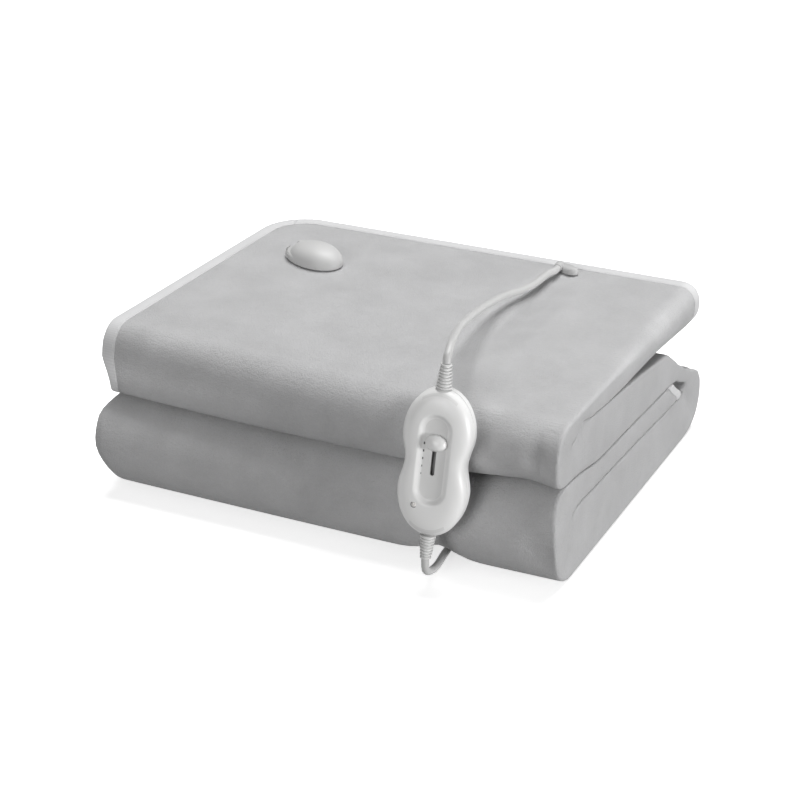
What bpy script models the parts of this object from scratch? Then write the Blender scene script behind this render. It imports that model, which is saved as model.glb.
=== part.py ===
"""A folded electric heated blanket with its hand controller, for Blender 4.5 (metres, +Z up).

The blanket is one cloth. It is folded in half twice across X, which makes a strip of four plies, and
the strip is then folded back and forth along Y into four layers. X runs along the front, Y to the back.
"""

import math

import bpy
import bmesh
from mathutils import Matrix, Vector

# Folded pack, before the cloth settles
PACK_WIDTH = 0.400
PACK_DEPTH = 0.318
CLOTH = 0.0062
PLY_GAP = 0.0024
FOLD_HOLLOW = 0.0011  # inside radius of a front roll
LAYER_GAP = 0.0025  # between the upper and the lower roll
CORNER_RADIUS = 0.040  # of the cloth's own corners, laid flat
LEFT_FOLD_INSET = 0.004  # of the strip's first fold, at the pack's left side
LEFT_INSETS = (0.0, 0.009)  # outer and inner bound edge, from the pack's left side

UPPER_LOFT = 0.88  # the upper two layers lie flatter than the strip's own thickness, the lower two fuller
LOWER_LOFT = 1.10

PLY_PITCH = CLOTH + PLY_GAP
STACK_HALF = (4 * CLOTH + 3 * PLY_GAP) / 2
UPPER_HALF = STACK_HALF * UPPER_LOFT
LOWER_HALF = STACK_HALF * LOWER_LOFT
UPPER_ROLL = UPPER_HALF + FOLD_HOLLOW
LOWER_ROLL = LOWER_HALF + FOLD_HOLLOW
LAYER_Z = {4: LOWER_HALF}
LAYER_Z[3] = LAYER_Z[4] + 2 * LOWER_ROLL
LAYER_Z[2] = LAYER_Z[3] + LOWER_HALF + LAYER_GAP + UPPER_HALF
LAYER_Z[1] = LAYER_Z[2] + 2 * UPPER_ROLL
PACK_HEIGHT = LAYER_Z[1] + UPPER_HALF
BACK_WRAP = (LAYER_Z[2] - LAYER_Z[4]) / 2
INNER_END = 0.004  # how far the tucked-in edge reaches into the back wrap

# Edge binding
TAPE = 0.0008
TAPE_WIDTH = 0.011
SEAT = 0.0003  # gap between two pieces that touch
CLOTH_SEAT = 0.0006  # gap under a hard piece that lies on the cloth
TAPE_SEAT = 0.0006  # under the tape
PINCHED = CLOTH - 2 * (TAPE + TAPE_SEAT)  # cloth thickness under the tape

# Where the mains lead runs under the pack
LEAD_X = 0.300
LEAD_TUNNEL = 0.0085
TUNNEL_HALF = 0.017
TUNNEL_REACH = 0.075

# How far the soft pack departs from its even fold
FRONT_CLIMB = 0.0055
CLIMB_DEPTH = 0.150
FRONT_SAG = 0.0040
LOWER_SET_BACK = 0.003  # of the lower front roll, at its left end
UPPER_SET_BACK = 0.029
WRAP_FOOT = 0.021
WRAP_SHOULDER = 0.018
END_ROUND = 0.014
END_REACH = 0.060
CROWN = 0.012
# At the right end, how far the back wrap shifts at each height
WRAP_SHIFT = (
    (0.0, 0.036), (0.009, 0.036), (0.0225, 0.029), (0.0442, 0.0128), (0.0619, -0.001), (0.0859, -0.032),
    (0.1033, -0.041), (0.1047, 0.0),
)
# There too, how the lines between layers climb: the height, its reach, and the climb by distance from the front
END_RISES = (
    (0.104, 0.030, ((0.012, 0.002), (0.050, 0.0145), (0.13, 0.009), (0.30, -0.002))),
    (0.0726, 0.035, ((0.03, 0.006), (0.049, 0.0045), (0.085, -0.001), (0.14, -0.001), (0.25, -0.002))),
    (0.036, 0.036, ((0.010, 0.004), (0.045, 0.018), (0.166, 0.016), (0.27, 0.012))),
)
TOP_SKEW = 0.010  # the top layer's left edge drifts in towards the back

# Controller, in its own frame: X across, Y up its length, Z out of its face
CONTROLLER_LENGTH = 0.1125
LOBE_HALF = 0.0263
WAIST_HALF = 0.0227
LOBE_OFFSET = 0.0215
SHELL_SPLIT = 0.0090
CONTROLLER_THICK = 0.0200
CONTROLLER_YAW = math.radians(8)  # its face is turned a little towards +X
CONTROLLER_TILT = math.radians(9)  # its top leans back
CONTROLLER_LEAN = math.radians(-3)
CONTROLLER_AT = Vector((0.3087, -0.0026, 0.0979))  # middle of its back
RECESS_HALF = 0.0125
RECESS_LENGTH = 0.070
RECESS_CENTRE = 0.0040
RECESS_DEPTH = 0.0028
SLOT_HALF = 0.0016
SLOT_DEPTH = 0.0040
SLOT_BELOW = 0.0048  # past the lowest place of the slider's middle
SLIDER_AT = 0.0165
SLIDER_TRAVEL = 0.0200
SLIDER_HALF = 0.0092
SLIDER_ABOVE = 0.0070  # from its middle to its upper edge
SLIDER_BELOW = 0.0058
SLIDER_TALL = 0.0060
STEM_HALF = 0.0008
STEM_LENGTH = 0.0044
LAMP_AT = (-0.0105, -0.0318)
SLEEVE_LENGTH = 0.0180
SLEEVE_BASE = 0.0057
SLEEVE_TIP = 0.0043
SLEEVE_MIDDLE = 0.0098  # height of the leads' middle off the controller's back

# Connector housing on the top face
CONNECTOR_AT = (0.0875, 0.2245)
CONNECTOR_TURN = math.radians(-24)
CONNECTOR_BASE_TOP = 0.0056
LATCH_AT = (0.0629, 0.2486)

# Where the control lead leaves the cloth
GLAND_AT = (0.2908, 0.2950)
GLAND_TURN = math.radians(-24)
NOZZLE_AT = (0.2832, 0.2965)
NOZZLE_TURN = math.radians(-86)  # the way the lead leaves, from +X
NOZZLE_LENGTH = 0.0080

# Leads
LEAD = 0.0060
REST = LEAD / 2 + 0.0011  # a lead's middle above the cloth it lies on
FLOOR = LEAD / 2 + 0.0002  # a lead's middle above the floor
COIL_AT = Vector((0.234, 0.394, 0.0))
COIL_MID_RADIUS = 0.036
COIL_TURNS_WIDE = 3
COIL_TURNS_HIGH = 2
BESIDE_COIL = COIL_MID_RADIUS + (COIL_TURNS_WIDE + 1) * LEAD / 2 + SEAT  # a lead's middle, along the coil
TIE_WALL = 0.0010
TIE_WIDTH = 0.0070
PLUG_AT = Vector((0.144, 0.4215, 0.0070))  # middle of the plug's back, where the lead goes in
PLUG_LENGTH = 0.0355
PIN_APART = 0.0186

# The control lead on the top face, then over the front roll to the controller
LYING_ROUTE = [(0.2813, 0.2735), (0.2808, 0.2571)]
ARCHED_ROUTE = [
    (0.2801, 0.2407, 0.1394), (0.2778, 0.2234, 0.1412), (0.2749, 0.2056, 0.1440), (0.2736, 0.1881, 0.1468),
    (0.2740, 0.1704, 0.1497), (0.2769, 0.1435, 0.1550), (0.2829, 0.1085, 0.1624), (0.2910, 0.0750, 0.1706),
    (0.2968, 0.0549, 0.1756), (0.3030, 0.0348, 0.1795), (0.3082, 0.0171, 0.1814), (0.3109, 0.0072, 0.1800),
]
# The mains lead from the controller to the floor, under the pack and out behind it
MAINS_ROUTE = [
    (0.3076, -0.0240, 0.0165), (0.3070, -0.0196, 0.0119), (0.3060, -0.0130, 0.0084),
    (0.3052, -0.0050, 0.0056), (0.3040, 0.0050, 0.0037), (0.3026, 0.0150, FLOOR),
    (0.3012, 0.0260, FLOOR), (0.3002, 0.0420, FLOOR),
    (0.3000, 0.0700, FLOOR), (0.3000, 0.1150, FLOOR), (0.3000, 0.1650, FLOOR), (0.3000, 0.2150, FLOOR),
    (0.3000, 0.2600, FLOOR), (0.3000, 0.3000, FLOOR), (0.2998, 0.3260, FLOOR), (0.2980, 0.3430, FLOOR),
    (0.2942, 0.3580, 0.0040), (0.2890, 0.3700, 0.0052), (0.2846, 0.3820, 0.0060),
]
# The last of it, from the coil's back to the plug
TAIL_ROUTE = [
    (0.2160, 0.4420, 0.0068), (0.2000, 0.4402, 0.0066), (0.1840, 0.4352, 0.0066), (0.1680, 0.4268, 0.0068),
]

# The pack's own corner is put back so that the origin is under the middle of the whole part
ORIGIN_SHIFT = Vector((-0.1992, -0.1534, 0.0))

COLOURS = {
    "blanket_cloth": ((0.52, 0.52, 0.53, 1.0), 0.95),
    "binding_tape": ((0.62, 0.62, 0.63, 1.0), 0.75),
    "white_plastic": ((0.82, 0.82, 0.82, 1.0), 0.38),
    "recess_plastic": ((0.74, 0.74, 0.75, 1.0), 0.42),
    "lamp_lens": ((0.60, 0.10, 0.08, 1.0), 0.20),
    "cord_plastic": ((0.78, 0.78, 0.78, 1.0), 0.45),
    "tie_plastic": ((0.70, 0.70, 0.70, 1.0), 0.50),
    "pin_metal": ((0.72, 0.68, 0.58, 1.0), 0.30),
}


def material(name):
    found = bpy.data.materials.get(name)
    if found:
        return found
    colour, roughness = COLOURS[name]
    made = bpy.data.materials.new(name)
    made.use_nodes = True
    shader = made.node_tree.nodes["Principled BSDF"]
    shader.inputs["Base Color"].default_value = colour
    shader.inputs["Roughness"].default_value = roughness
    shader.inputs["Metallic"].default_value = 1.0 if name == "pin_metal" else 0.0
    return made


def add_object(name, mesh, slot, parent=None):
    made = bpy.data.objects.new(name, mesh)
    bpy.context.collection.objects.link(made)
    made.data.materials.append(material(slot))
    if parent:
        made.parent = parent
    return made


def mesh_object(name, points, faces, slot, parent=None, smooth_angle=40):
    mesh = bpy.data.meshes.new(name)
    mesh.from_pydata([tuple(p) for p in points], [], faces)
    form = bmesh.new()
    form.from_mesh(mesh)
    bmesh.ops.recalc_face_normals(form, faces=form.faces)
    if form.calc_volume(signed=True) < 0:
        bmesh.ops.reverse_faces(form, faces=form.faces)
    form.to_mesh(mesh)
    form.free()
    mesh.shade_smooth()
    mesh.set_sharp_from_angle(angle=math.radians(smooth_angle))
    return add_object(name, mesh, slot, parent)


def empty(name, matrix):
    made = bpy.data.objects.new(name, None)
    bpy.context.collection.objects.link(made)
    made.matrix_world = matrix
    return made


def smooth_step(value, start, end):
    t = min(1.0, max(0.0, (value - start) / (end - start)))
    return t * t * (3 - 2 * t)


# ---------------------------------------------------------------- folded cloth


class FoldPath:
    """Straight runs joined by half turns, in one plane. An offset moves a point off the path, to `side`."""

    def __init__(self, start, heading, side, runs):
        # runs: (straight length, half-turn radius, turn), turn +1 to the left; the last run has no turn
        self.parts = []
        self.side = side
        self.length = 0.0
        at, ahead = Vector(start), Vector(heading)
        for straight, radius, turn in runs:
            self.parts.append(("run", self.length, straight, at.copy(), ahead.copy(), None, None))
            at = at + ahead * straight
            self.length += straight
            if not turn:
                break
            left = Vector((-ahead.y, ahead.x))
            centre = at + left * (turn * radius)
            self.parts.append(
                ("turn", self.length, math.pi * radius, centre, ahead.copy(), radius, turn)
            )
            at = centre + left * (turn * radius)
            self.length += math.pi * radius
            ahead = -ahead

    def spans(self):
        """Start and length of each straight run and each half turn."""
        return [(kind, start, length) for kind, start, length, *_ in self.parts]

    def at(self, along, offset, squareness):
        part = self.parts[0]
        for candidate in self.parts:
            if along >= candidate[1] - 1e-9:
                part = candidate
        kind, start, length, origin, ahead, radius, turn = part
        left = Vector((-ahead.y, ahead.x))
        if kind == "run":
            return origin + ahead * (along - start) + left * (self.side * offset)
        angle = math.pi * (along - start) / length
        reach = radius - turn * self.side * offset
        out = abs(math.cos(angle)) ** squareness * math.copysign(1.0, math.cos(angle))
        forward = max(0.0, math.sin(angle)) ** squareness
        return origin + (-turn * out * reach) * left + (forward * reach) * ahead


def strip_section():
    """The four plies, in the plane of x and of the height w in the strip."""
    outer, inner = 1.5 * PLY_PITCH, 0.5 * PLY_PITCH
    right_centre = PACK_WIDTH - STACK_HALF
    left_centre = LEFT_FOLD_INSET + inner + CLOTH / 2
    return FoldPath(
        (LEFT_INSETS[0], outer), (1, 0), 1,
        [
            (right_centre - LEFT_INSETS[0], outer, -1),
            (right_centre - left_centre, inner, -1),
            (right_centre - left_centre, inner, 1),
            (right_centre - LEFT_INSETS[1], 0, 0),
        ],
    )


def layer_section():
    """The four layers, in the plane of y and z. The strip's height w is measured off this path."""
    upper_front = UPPER_ROLL + UPPER_HALF
    lower_front = LOWER_ROLL + LOWER_HALF
    wrap = PACK_DEPTH - BACK_WRAP - STACK_HALF
    return FoldPath(
        (PACK_DEPTH - TAPE, LAYER_Z[1]), (-1, 0), -1,
        [
            (PACK_DEPTH - TAPE - upper_front, UPPER_ROLL, 1),
            (wrap - upper_front, BACK_WRAP, -1),
            (wrap - lower_front, LOWER_ROLL, -1),
            (wrap + INNER_END - lower_front, 0, 0),
        ],
    )


STRIP = strip_section()
LAYERS = layer_section()


def end_squareness(along):
    """How square the strip's folded right end is: round at the top layer's free end, flat elsewhere."""
    top_end, front = LAYERS.parts[0][2], LAYERS.parts[1][1]
    return 0.88 - 0.70 * smooth_step(along, 0.25 * top_end, 0.80 * front)


def loft(s):
    """How full the strip lies along its way: flatter in the two upper layers, fuller in the two lower."""
    wrap_start, wrap_length = LAYERS.parts[3][1:3]
    return UPPER_LOFT + (LOWER_LOFT - UPPER_LOFT) * smooth_step(s, wrap_start, wrap_start + wrap_length)


def roll_squareness(x, s):
    """Towards the right end, each front roll is flat where it lies against the other roll."""
    upper, lower = LAYERS.parts[1], LAYERS.parts[5]
    facing = any(part[1] + part[2] / 2 < s < part[1] + part[2] for part in (upper, lower))
    return 1.0 - 0.50 * facing * smooth_step(x, 0.92 * PACK_WIDTH, 0.99 * PACK_WIDTH)


def round_corner(u, s):
    """Moves a point near a corner of the flat cloth, so that the corner is an arc."""
    near_u = min(u, STRIP.length - u)
    near_s = min(s, LAYERS.length - s)
    if near_u >= CORNER_RADIUS or near_s >= CORNER_RADIUS:
        return u, s
    across, down = CORNER_RADIUS - near_u, CORNER_RADIUS - near_s
    shrink = max(across, down) / math.hypot(across, down)
    near_u = CORNER_RADIUS - across * shrink
    near_s = CORNER_RADIUS - down * shrink
    return (
        near_u if u < STRIP.length / 2 else STRIP.length - near_u,
        near_s if s < LAYERS.length / 2 else LAYERS.length - near_s,
    )


def between_marks(value, marks):
    """Reads a short table of pairs, in a straight line between them."""
    if value <= marks[0][0]:
        return marks[0][1]
    for (low, at_low), (high, at_high) in zip(marks, marks[1:]):
        if value <= high:
            return at_low + (at_high - at_low) * (value - low) / (high - low)
    return marks[-1][1]


def hump(value, middle, half):
    """1 at the middle, falling smoothly to 0 at half to each side."""
    t = min(1.0, abs(value - middle) / half)
    return (1 - t * t) ** 2


def settle(x, y, z):
    """How the soft pack lies, from its even fold in its own corner frame."""
    height = min(1.0, max(0.0, z / PACK_HEIGHT))
    across = min(1.0, max(0.0, x / PACK_WIDTH))
    back = min(1.0, max(0.0, y / PACK_DEPTH))
    # The line between the layers climbs to the front, and sags a little between the pack's ends.
    climb = FRONT_CLIMB * (1 - y / CLIMB_DEPTH) - FRONT_SAG * math.sin(math.pi * across) * (1 - back)
    lift = climb * 4 * height * (1 - height)
    # The upper roll stands back at the left, and the back wrap leans out at its foot.
    set_back = (1 - across) ** 1.4 * math.exp(-back * 3.5)
    upper = smooth_step(height, 0.52, 0.82)
    shift_y = set_back * (LOWER_SET_BACK + (UPPER_SET_BACK - LOWER_SET_BACK) * upper)
    rear = smooth_step(back, 0.40, 1.0)
    even_shift = WRAP_FOOT * hump(height, 0.28, 0.36) - WRAP_SHOULDER * hump(height, 0.66, 0.26)
    end_shift = between_marks(z, WRAP_SHIFT)
    shift_y += rear * (even_shift + (end_shift - even_shift) * smooth_step(x, 0.27, 0.38))
    rise = sum(hump(z, middle, half) * between_marks(y, rises) for middle, half, rises in END_RISES)
    lift += smooth_step(x, 0.318, 0.392) * rise
    # The lower rolls' left end is rounded in, above and below.
    end_round = max(0.0, 1 - x / END_REACH) ** 2
    shift_x = END_ROUND * end_round * (hump(height, 0.0, 0.30) + 0.6 * hump(height, 0.62, 0.16))
    shift_x += TOP_SKEW * (1 - across) * back * smooth_step(height, 0.70, 0.85)
    crown = 1 + CROWN * math.sin(math.pi * across) * math.sin(math.pi * back)
    z = (z + lift) * crown
    tunnel = LEAD_TUNNEL * math.exp(-(((x - LEAD_X) / TUNNEL_HALF) ** 2))
    z += tunnel * max(0.0, 1 - z / TUNNEL_REACH)
    return Vector((x + shift_x, y + shift_y, z)) + ORIGIN_SHIFT


def on_cloth(u, s, offset):
    """A point of the folded cloth: u and s are measured on the flat cloth, offset is off its middle."""
    u, s = round_corner(u, s)
    x, w = STRIP.at(u, offset, end_squareness(s))
    y, z = LAYERS.at(s, w * loft(s), roll_squareness(x, s))
    return settle(x, y, z)


def cloth_half(u, s):
    """Half the cloth's thickness: it is pressed thinner under the binding."""
    edge = min(u, STRIP.length - u, s, LAYERS.length - s)
    return (PINCHED + (CLOTH - PINCHED) * (edge > TAPE_WIDTH + 0.001)) / 2


def stations(path, run_marks, turn_steps):
    """Distances along a path: run_marks on each straight run, and even steps round each turn."""
    marks = [0.0, TAPE_WIDTH + 0.0004, TAPE_WIDTH + 0.0024]
    ends = marks + [path.length - m for m in marks]
    found = list(ends)
    turns = iter(turn_steps)
    for number, (kind, start, length) in enumerate(path.spans()):
        if kind == "turn":
            steps = next(turns)
            found += [start + length * k / steps for k in range(steps + 1)]
        else:
            found += [start + m for m in run_marks(number // 2, length)]
    found = sorted(found)
    return [a for a, b in zip(found, found[1:] + [1e9]) if b - a > 1e-6]


def strip_marks(number, length):
    """Across the strip: even marks, and closer ones over the lead's tunnel."""
    reversed_run = number in (1, 3)
    first_x = PACK_WIDTH - STACK_HALF if reversed_run else STRIP.parts[2 * number][3].x
    tunnel = [LEAD_X + d * TUNNEL_HALF for d in (-1.7, -0.7, 0.0, 0.7, 1.7)]
    even = [PACK_WIDTH * k for k in (0.20, 0.45, 0.893)]
    marks = [(first_x - x if reversed_run else x - first_x) for x in even + tunnel]
    return [m for m in marks if 0.015 < m < length - 0.004]


def layer_marks(number, length):
    return [length * k for k in ((0.25, 0.5, 0.75) if number != 3 else (0.33, 0.67))]


STRIP_STATIONS = stations(STRIP, strip_marks, (7, 4, 4))
LAYER_STATIONS = stations(LAYERS, layer_marks, (7, 7, 7))


def build_blanket():
    across, along = STRIP_STATIONS, LAYER_STATIONS
    points, index = [], {}
    for side in (1, -1):
        for i, u in enumerate(across):
            for j, s in enumerate(along):
                index[side, i, j] = len(points)
                points.append(on_cloth(u, s, side * cloth_half(u, s)))
    faces = []
    for i in range(len(across) - 1):
        for j in range(len(along) - 1):
            for side in (1, -1):
                quad = [index[side, a, b] for a, b in ((i, j), (i + 1, j), (i + 1, j + 1), (i, j + 1))]
                faces.append(quad)
    rim = [(i, 0) for i in range(len(across))]
    rim += [(len(across) - 1, j) for j in range(1, len(along))]
    rim += [(i, len(along) - 1) for i in reversed(range(len(across) - 1))]
    rim += [(0, j) for j in reversed(range(1, len(along) - 1))]
    for here, there in zip(rim, rim[1:] + rim[:1]):
        faces.append([index[1, *here], index[1, *there], index[-1, *there], index[-1, *here]])
    return mesh_object("blanket", points, faces, "blanket_cloth", smooth_angle=60)


def tape_ring():
    """The binding's section: distance in from the cloth's edge, and offset off the cloth's middle."""
    inner = PINCHED / 2 + TAPE_SEAT
    outer = inner + TAPE
    edge = -TAPE_SEAT - TAPE
    outside = [(TAPE_WIDTH, outer), (edge, outer), (edge, -outer), (TAPE_WIDTH, -outer)]
    inside = [(TAPE_WIDTH, -inner), (-TAPE_SEAT, -inner), (-TAPE_SEAT, inner), (TAPE_WIDTH, inner)]
    return outside + inside


def build_binding(name, place, marks):
    """A folded tape along one edge. place(inward, mark, offset) gives a point."""
    ring = tape_ring()
    points = [place(inward, mark, offset) for mark in marks for inward, offset in ring]
    size = len(ring)
    faces = []
    for k in range(len(marks) - 1):
        for c in range(size):
            d = (c + 1) % size
            faces.append([k * size + c, k * size + d, (k + 1) * size + d, (k + 1) * size + c])
    last = (len(marks) - 1) * size
    for c in range(size // 2 - 1):
        cap = [c, c + 1, size - 2 - c, size - 1 - c]
        faces.append(cap)
        faces.append([last + k for k in reversed(cap)])
    return mesh_object(name, points, faces, "binding_tape", smooth_angle=50)


def build_bindings():
    width, length = STRIP.length, LAYERS.length
    clear = TAPE_WIDTH + SEAT + 0.0001
    between = [u for u in STRIP_STATIONS if clear + 0.001 < u < width - clear - 0.001]
    along = [clear, *between, width - clear]
    build_binding("binding_outer_end", lambda d, s, o: on_cloth(d, s, o), LAYER_STATIONS)
    build_binding("binding_inner_end", lambda d, s, o: on_cloth(width - d, s, o), LAYER_STATIONS)
    build_binding("binding_top_edge", lambda d, u, o: on_cloth(u, d, o), along)
    build_binding("binding_tucked_edge", lambda d, u, o: on_cloth(u, length - d, o), along)


# ---------------------------------------------------------------- turned and lofted pieces


def ring_loft(name, rings, slot, parent=None, smooth_angle=40):
    """Rings of points, each with the same number of points, closed with a flat cap at both ends."""
    size = len(rings[0])
    points = [p for ring in rings for p in ring]
    faces = []
    for k in range(len(rings) - 1):
        for c in range(size):
            d = (c + 1) % size
            faces.append([k * size + c, k * size + d, (k + 1) * size + d, (k + 1) * size + c])
    faces.append(list(range(size))[::-1])
    faces.append([(len(rings) - 1) * size + c for c in range(size)])
    return mesh_object(name, points, faces, slot, parent, smooth_angle)


def turned(name, profile, slot, parent=None, sides=14, matrix=None):
    """A solid turned round +Y of its frame, from pairs of radius and distance along."""
    matrix = matrix or Matrix()
    angles = [2 * math.pi * k / sides for k in range(sides)]
    rings = []
    for radius, along in profile:
        ring = [Vector((radius * math.cos(a), along, -radius * math.sin(a))) for a in angles]
        rings.append([matrix @ point for point in ring])
    return ring_loft(name, rings, slot, parent)


def sleeve_profile(length, base, tip, ribs):
    """A tapered strain relief with raised rings."""
    profile = []
    pitch = length / ribs
    for k in range(ribs):
        radius = base + (tip - base) * k / (ribs - 1)
        start = k * pitch
        profile += [(radius, start), (radius, start + 0.62 * pitch if k < ribs - 1 else length)]
        if k < ribs - 1:
            neck = radius - 0.0011
            profile += [(neck, start + 0.66 * pitch), (neck, start + 0.96 * pitch)]
    return profile


def combine(target, helper, operation):
    helper.hide_render = True
    helper.display_type = "WIRE"
    modifier = target.modifiers.new(helper.name, "BOOLEAN")
    modifier.operation = operation
    modifier.object = helper


def cut(target, cutter):
    combine(target, cutter, "DIFFERENCE")


def add_to(target, extra):
    combine(target, extra, "UNION")


# ---------------------------------------------------------------- controller


def lobed_outline(inset, z, count=44):
    """The controller's outline, two lobes and a waist, drawn in by inset."""
    end = CONTROLLER_LENGTH / 2 - LOBE_OFFSET
    points = []
    for k in range(count):
        angle = 2 * math.pi * k / count
        y = CONTROLLER_LENGTH / 2 * math.sin(angle)
        past = abs(y) - LOBE_OFFSET
        if past > 0:
            half = LOBE_HALF * math.sqrt(max(0.0, 1 - (past / end) ** 2))
        else:
            pinch = 0.5 + 0.5 * math.cos(math.pi * y / LOBE_OFFSET)
            half = LOBE_HALF - (LOBE_HALF - WAIST_HALF) * pinch
        points.append(Vector((math.copysign(half, math.cos(angle)), y, 0)))
    drawn = []
    for k, point in enumerate(points):
        chord = points[(k + 1) % count] - points[k - 1]
        outward = Vector((chord.y, -chord.x, 0)).normalized()
        drawn.append(point - outward * inset + Vector((0, 0, z)))
    return drawn


def stadium(half, length, centre, z, steps=7):
    """A slot-shaped outline: two half circles and two straight sides."""
    points = []
    for end in (1, -1):
        for k in range(steps + 1):
            angle = math.pi * k / steps if end > 0 else math.pi + math.pi * k / steps
            y = centre + end * (length / 2 - half) + half * math.sin(angle)
            points.append(Vector((half * math.cos(angle), y, z)))
    return points


def build_controller():
    upright = Matrix.Rotation(math.pi / 2 - CONTROLLER_TILT, 4, "X")
    turn = Matrix.Rotation(CONTROLLER_YAW, 4, "Z") @ upright @ Matrix.Rotation(CONTROLLER_LEAN, 4, "Z")
    frame = empty("controller_frame", Matrix.Translation(CONTROLLER_AT + ORIGIN_SHIFT) @ turn)
    top = CONTROLLER_THICK
    back = [(0.0045, 0.0), (0.0018, 0.0012), (0.0004, 0.0034), (0.0, 0.0056), (0.0, SHELL_SPLIT)]
    ring_loft("controller_back", [lobed_outline(i, z) for i, z in back], "white_plastic", frame)
    front = [(0.0, SHELL_SPLIT + SEAT), (0.0, 0.0125), (0.0012, 0.0160), (0.0036, 0.0186), (0.0068, top)]
    shell = ring_loft("controller_front", [lobed_outline(i, z) for i, z in front], "white_plastic", frame)
    floor = top - RECESS_DEPTH
    bowl = [stadium(RECESS_HALF - d, RECESS_LENGTH - 2 * d, RECESS_CENTRE, z)
            for d, z in ((0.0022, floor), (0.0008, floor + 0.0014), (-0.0004, top + 0.0010))]
    cut(shell, ring_loft("recess_cutter", bowl, "recess_plastic", frame))
    slot_top, slot_end = SLIDER_AT + 0.0036, SLIDER_AT - SLIDER_TRAVEL - SLOT_BELOW
    groove = [stadium(SLOT_HALF, slot_top - slot_end, (slot_top + slot_end) / 2, z, 3)
              for z in (floor - SLOT_DEPTH, floor + 0.0008)]
    cut(shell, ring_loft("slot_cutter", groove, "recess_plastic", frame))
    build_slider(frame, floor)
    lamp = [(0.0021, 0.0), (0.0021, 0.0016), (0.0014, 0.0022)]
    lamp_at = Matrix.Translation((*LAMP_AT, 0)) @ Matrix.Rotation(math.pi / 2, 4, "X")
    seat = [(0.0024, top - 0.0016), (0.0024, top + 0.002)]
    cut(shell, turned("lamp_cutter", seat, "lamp_lens", frame, 12, lamp_at))
    lens = [(r, top - 0.0013 + a) for r, a in lamp]
    turned("controller_lamp", lens, "lamp_lens", frame, 12, lamp_at)
    middle = Matrix.Translation((0, 0, SLEEVE_MIDDLE))
    up = middle @ Matrix.Translation((0, CONTROLLER_LENGTH / 2 + SEAT, 0))
    down = middle @ Matrix.Rotation(math.pi, 4, "Z") @ Matrix.Translation((0, CONTROLLER_LENGTH / 2 + SEAT, 0))
    profile = sleeve_profile(SLEEVE_LENGTH, SLEEVE_BASE, SLEEVE_TIP, 6)
    turned("controller_top_sleeve", profile, "white_plastic", frame, 14, up)
    turned("controller_bottom_sleeve", profile, "white_plastic", frame, 14, down)
    return frame


def build_slider(frame, floor):
    """A thumb button, flat below and rounded above, with a stem that runs in the slot."""
    origin = empty("slider_axis", Matrix())
    origin.parent = frame
    origin.location = (0, SLIDER_AT, floor)
    rings = []
    for inset, z in ((0.0, SEAT), (0.0, 0.0030), (0.0010, 0.0048), (0.0030, SLIDER_TALL)):
        ring = []
        for k in range(20):
            angle = 2 * math.pi * k / 20
            half_deep = SLIDER_ABOVE if math.sin(angle) > 0 else SLIDER_BELOW
            x = (SLIDER_HALF - inset) * math.cos(angle)
            ring.append(Vector((x, (half_deep - inset) * math.sin(angle), z)))
        rings.append(ring)
    button = ring_loft("controller_slider", rings, "white_plastic", origin)
    stem = [stadium(STEM_HALF, 0.0058, 0.0, z, 3) for z in (SEAT - STEM_LENGTH + 0.0008, 0.0015)]
    add_to(button, ring_loft("slider_stem", stem, "white_plastic", origin))


# ---------------------------------------------------------------- connector on the cloth


def oval(half_long, half_wide, z, lean=0.0, count=28):
    return [
        Vector((half_long * math.cos(a) + lean, half_wide * math.sin(a), z))
        for a in (2 * math.pi * k / count for k in range(count))
    ]


def top_height(x, y):
    """Height of the folded pack's top face, in the pack's own corner frame."""
    return settle(x, y, PACK_HEIGHT).z


def on_top(x, y, gap):
    """A point of the part that far above the folded pack's top face."""
    return Vector((x, y, top_height(x, y) + gap)) + ORIGIN_SHIFT


def build_connector():
    """The housing of the blanket's connector: a low base, a domed cover and a release button."""
    seat = on_top(*CONNECTOR_AT, CLOTH_SEAT)
    frame = empty("connector_frame", Matrix.Translation(seat) @ Matrix.Rotation(CONNECTOR_TURN, 4, "Z"))
    base = [
        oval(0.0305, 0.0195, 0.0),
        oval(0.0315, 0.0205, 0.0010),
        oval(0.0308, 0.0198, 0.0042),
        oval(0.0290, 0.0182, CONNECTOR_BASE_TOP),
    ]
    ring_loft("connector_base", base, "white_plastic", frame)
    low = CONNECTOR_BASE_TOP + SEAT
    cover = [
        oval(0.0262, 0.0180, low, 0.0022),
        oval(0.0262, 0.0180, 0.0098, 0.0022),
        oval(0.0250, 0.0168, 0.0132, 0.0026),
        oval(0.0215, 0.0142, 0.0158, 0.0032),
        oval(0.0155, 0.0100, 0.0172, 0.0038),
        oval(0.0070, 0.0046, 0.0177, 0.0042),
    ]
    ring_loft("connector_cover", cover, "white_plastic", frame, smooth_angle=50)
    latch_seat = Matrix.Translation(on_top(*LATCH_AT, CLOTH_SEAT))
    latch_frame = latch_seat @ Matrix.Rotation(CONNECTOR_TURN, 4, "Z")
    latch = [
        [latch_frame @ point for point in oval(0.0048, 0.0034, 0.0, count=16)],
        [latch_frame @ point for point in oval(0.0048, 0.0034, 0.0040, count=16)],
        [latch_frame @ point for point in oval(0.0036, 0.0024, 0.0062, count=16)],
    ]
    ring_loft("connector_latch", latch, "white_plastic")


# ---------------------------------------------------------------- cords


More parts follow.
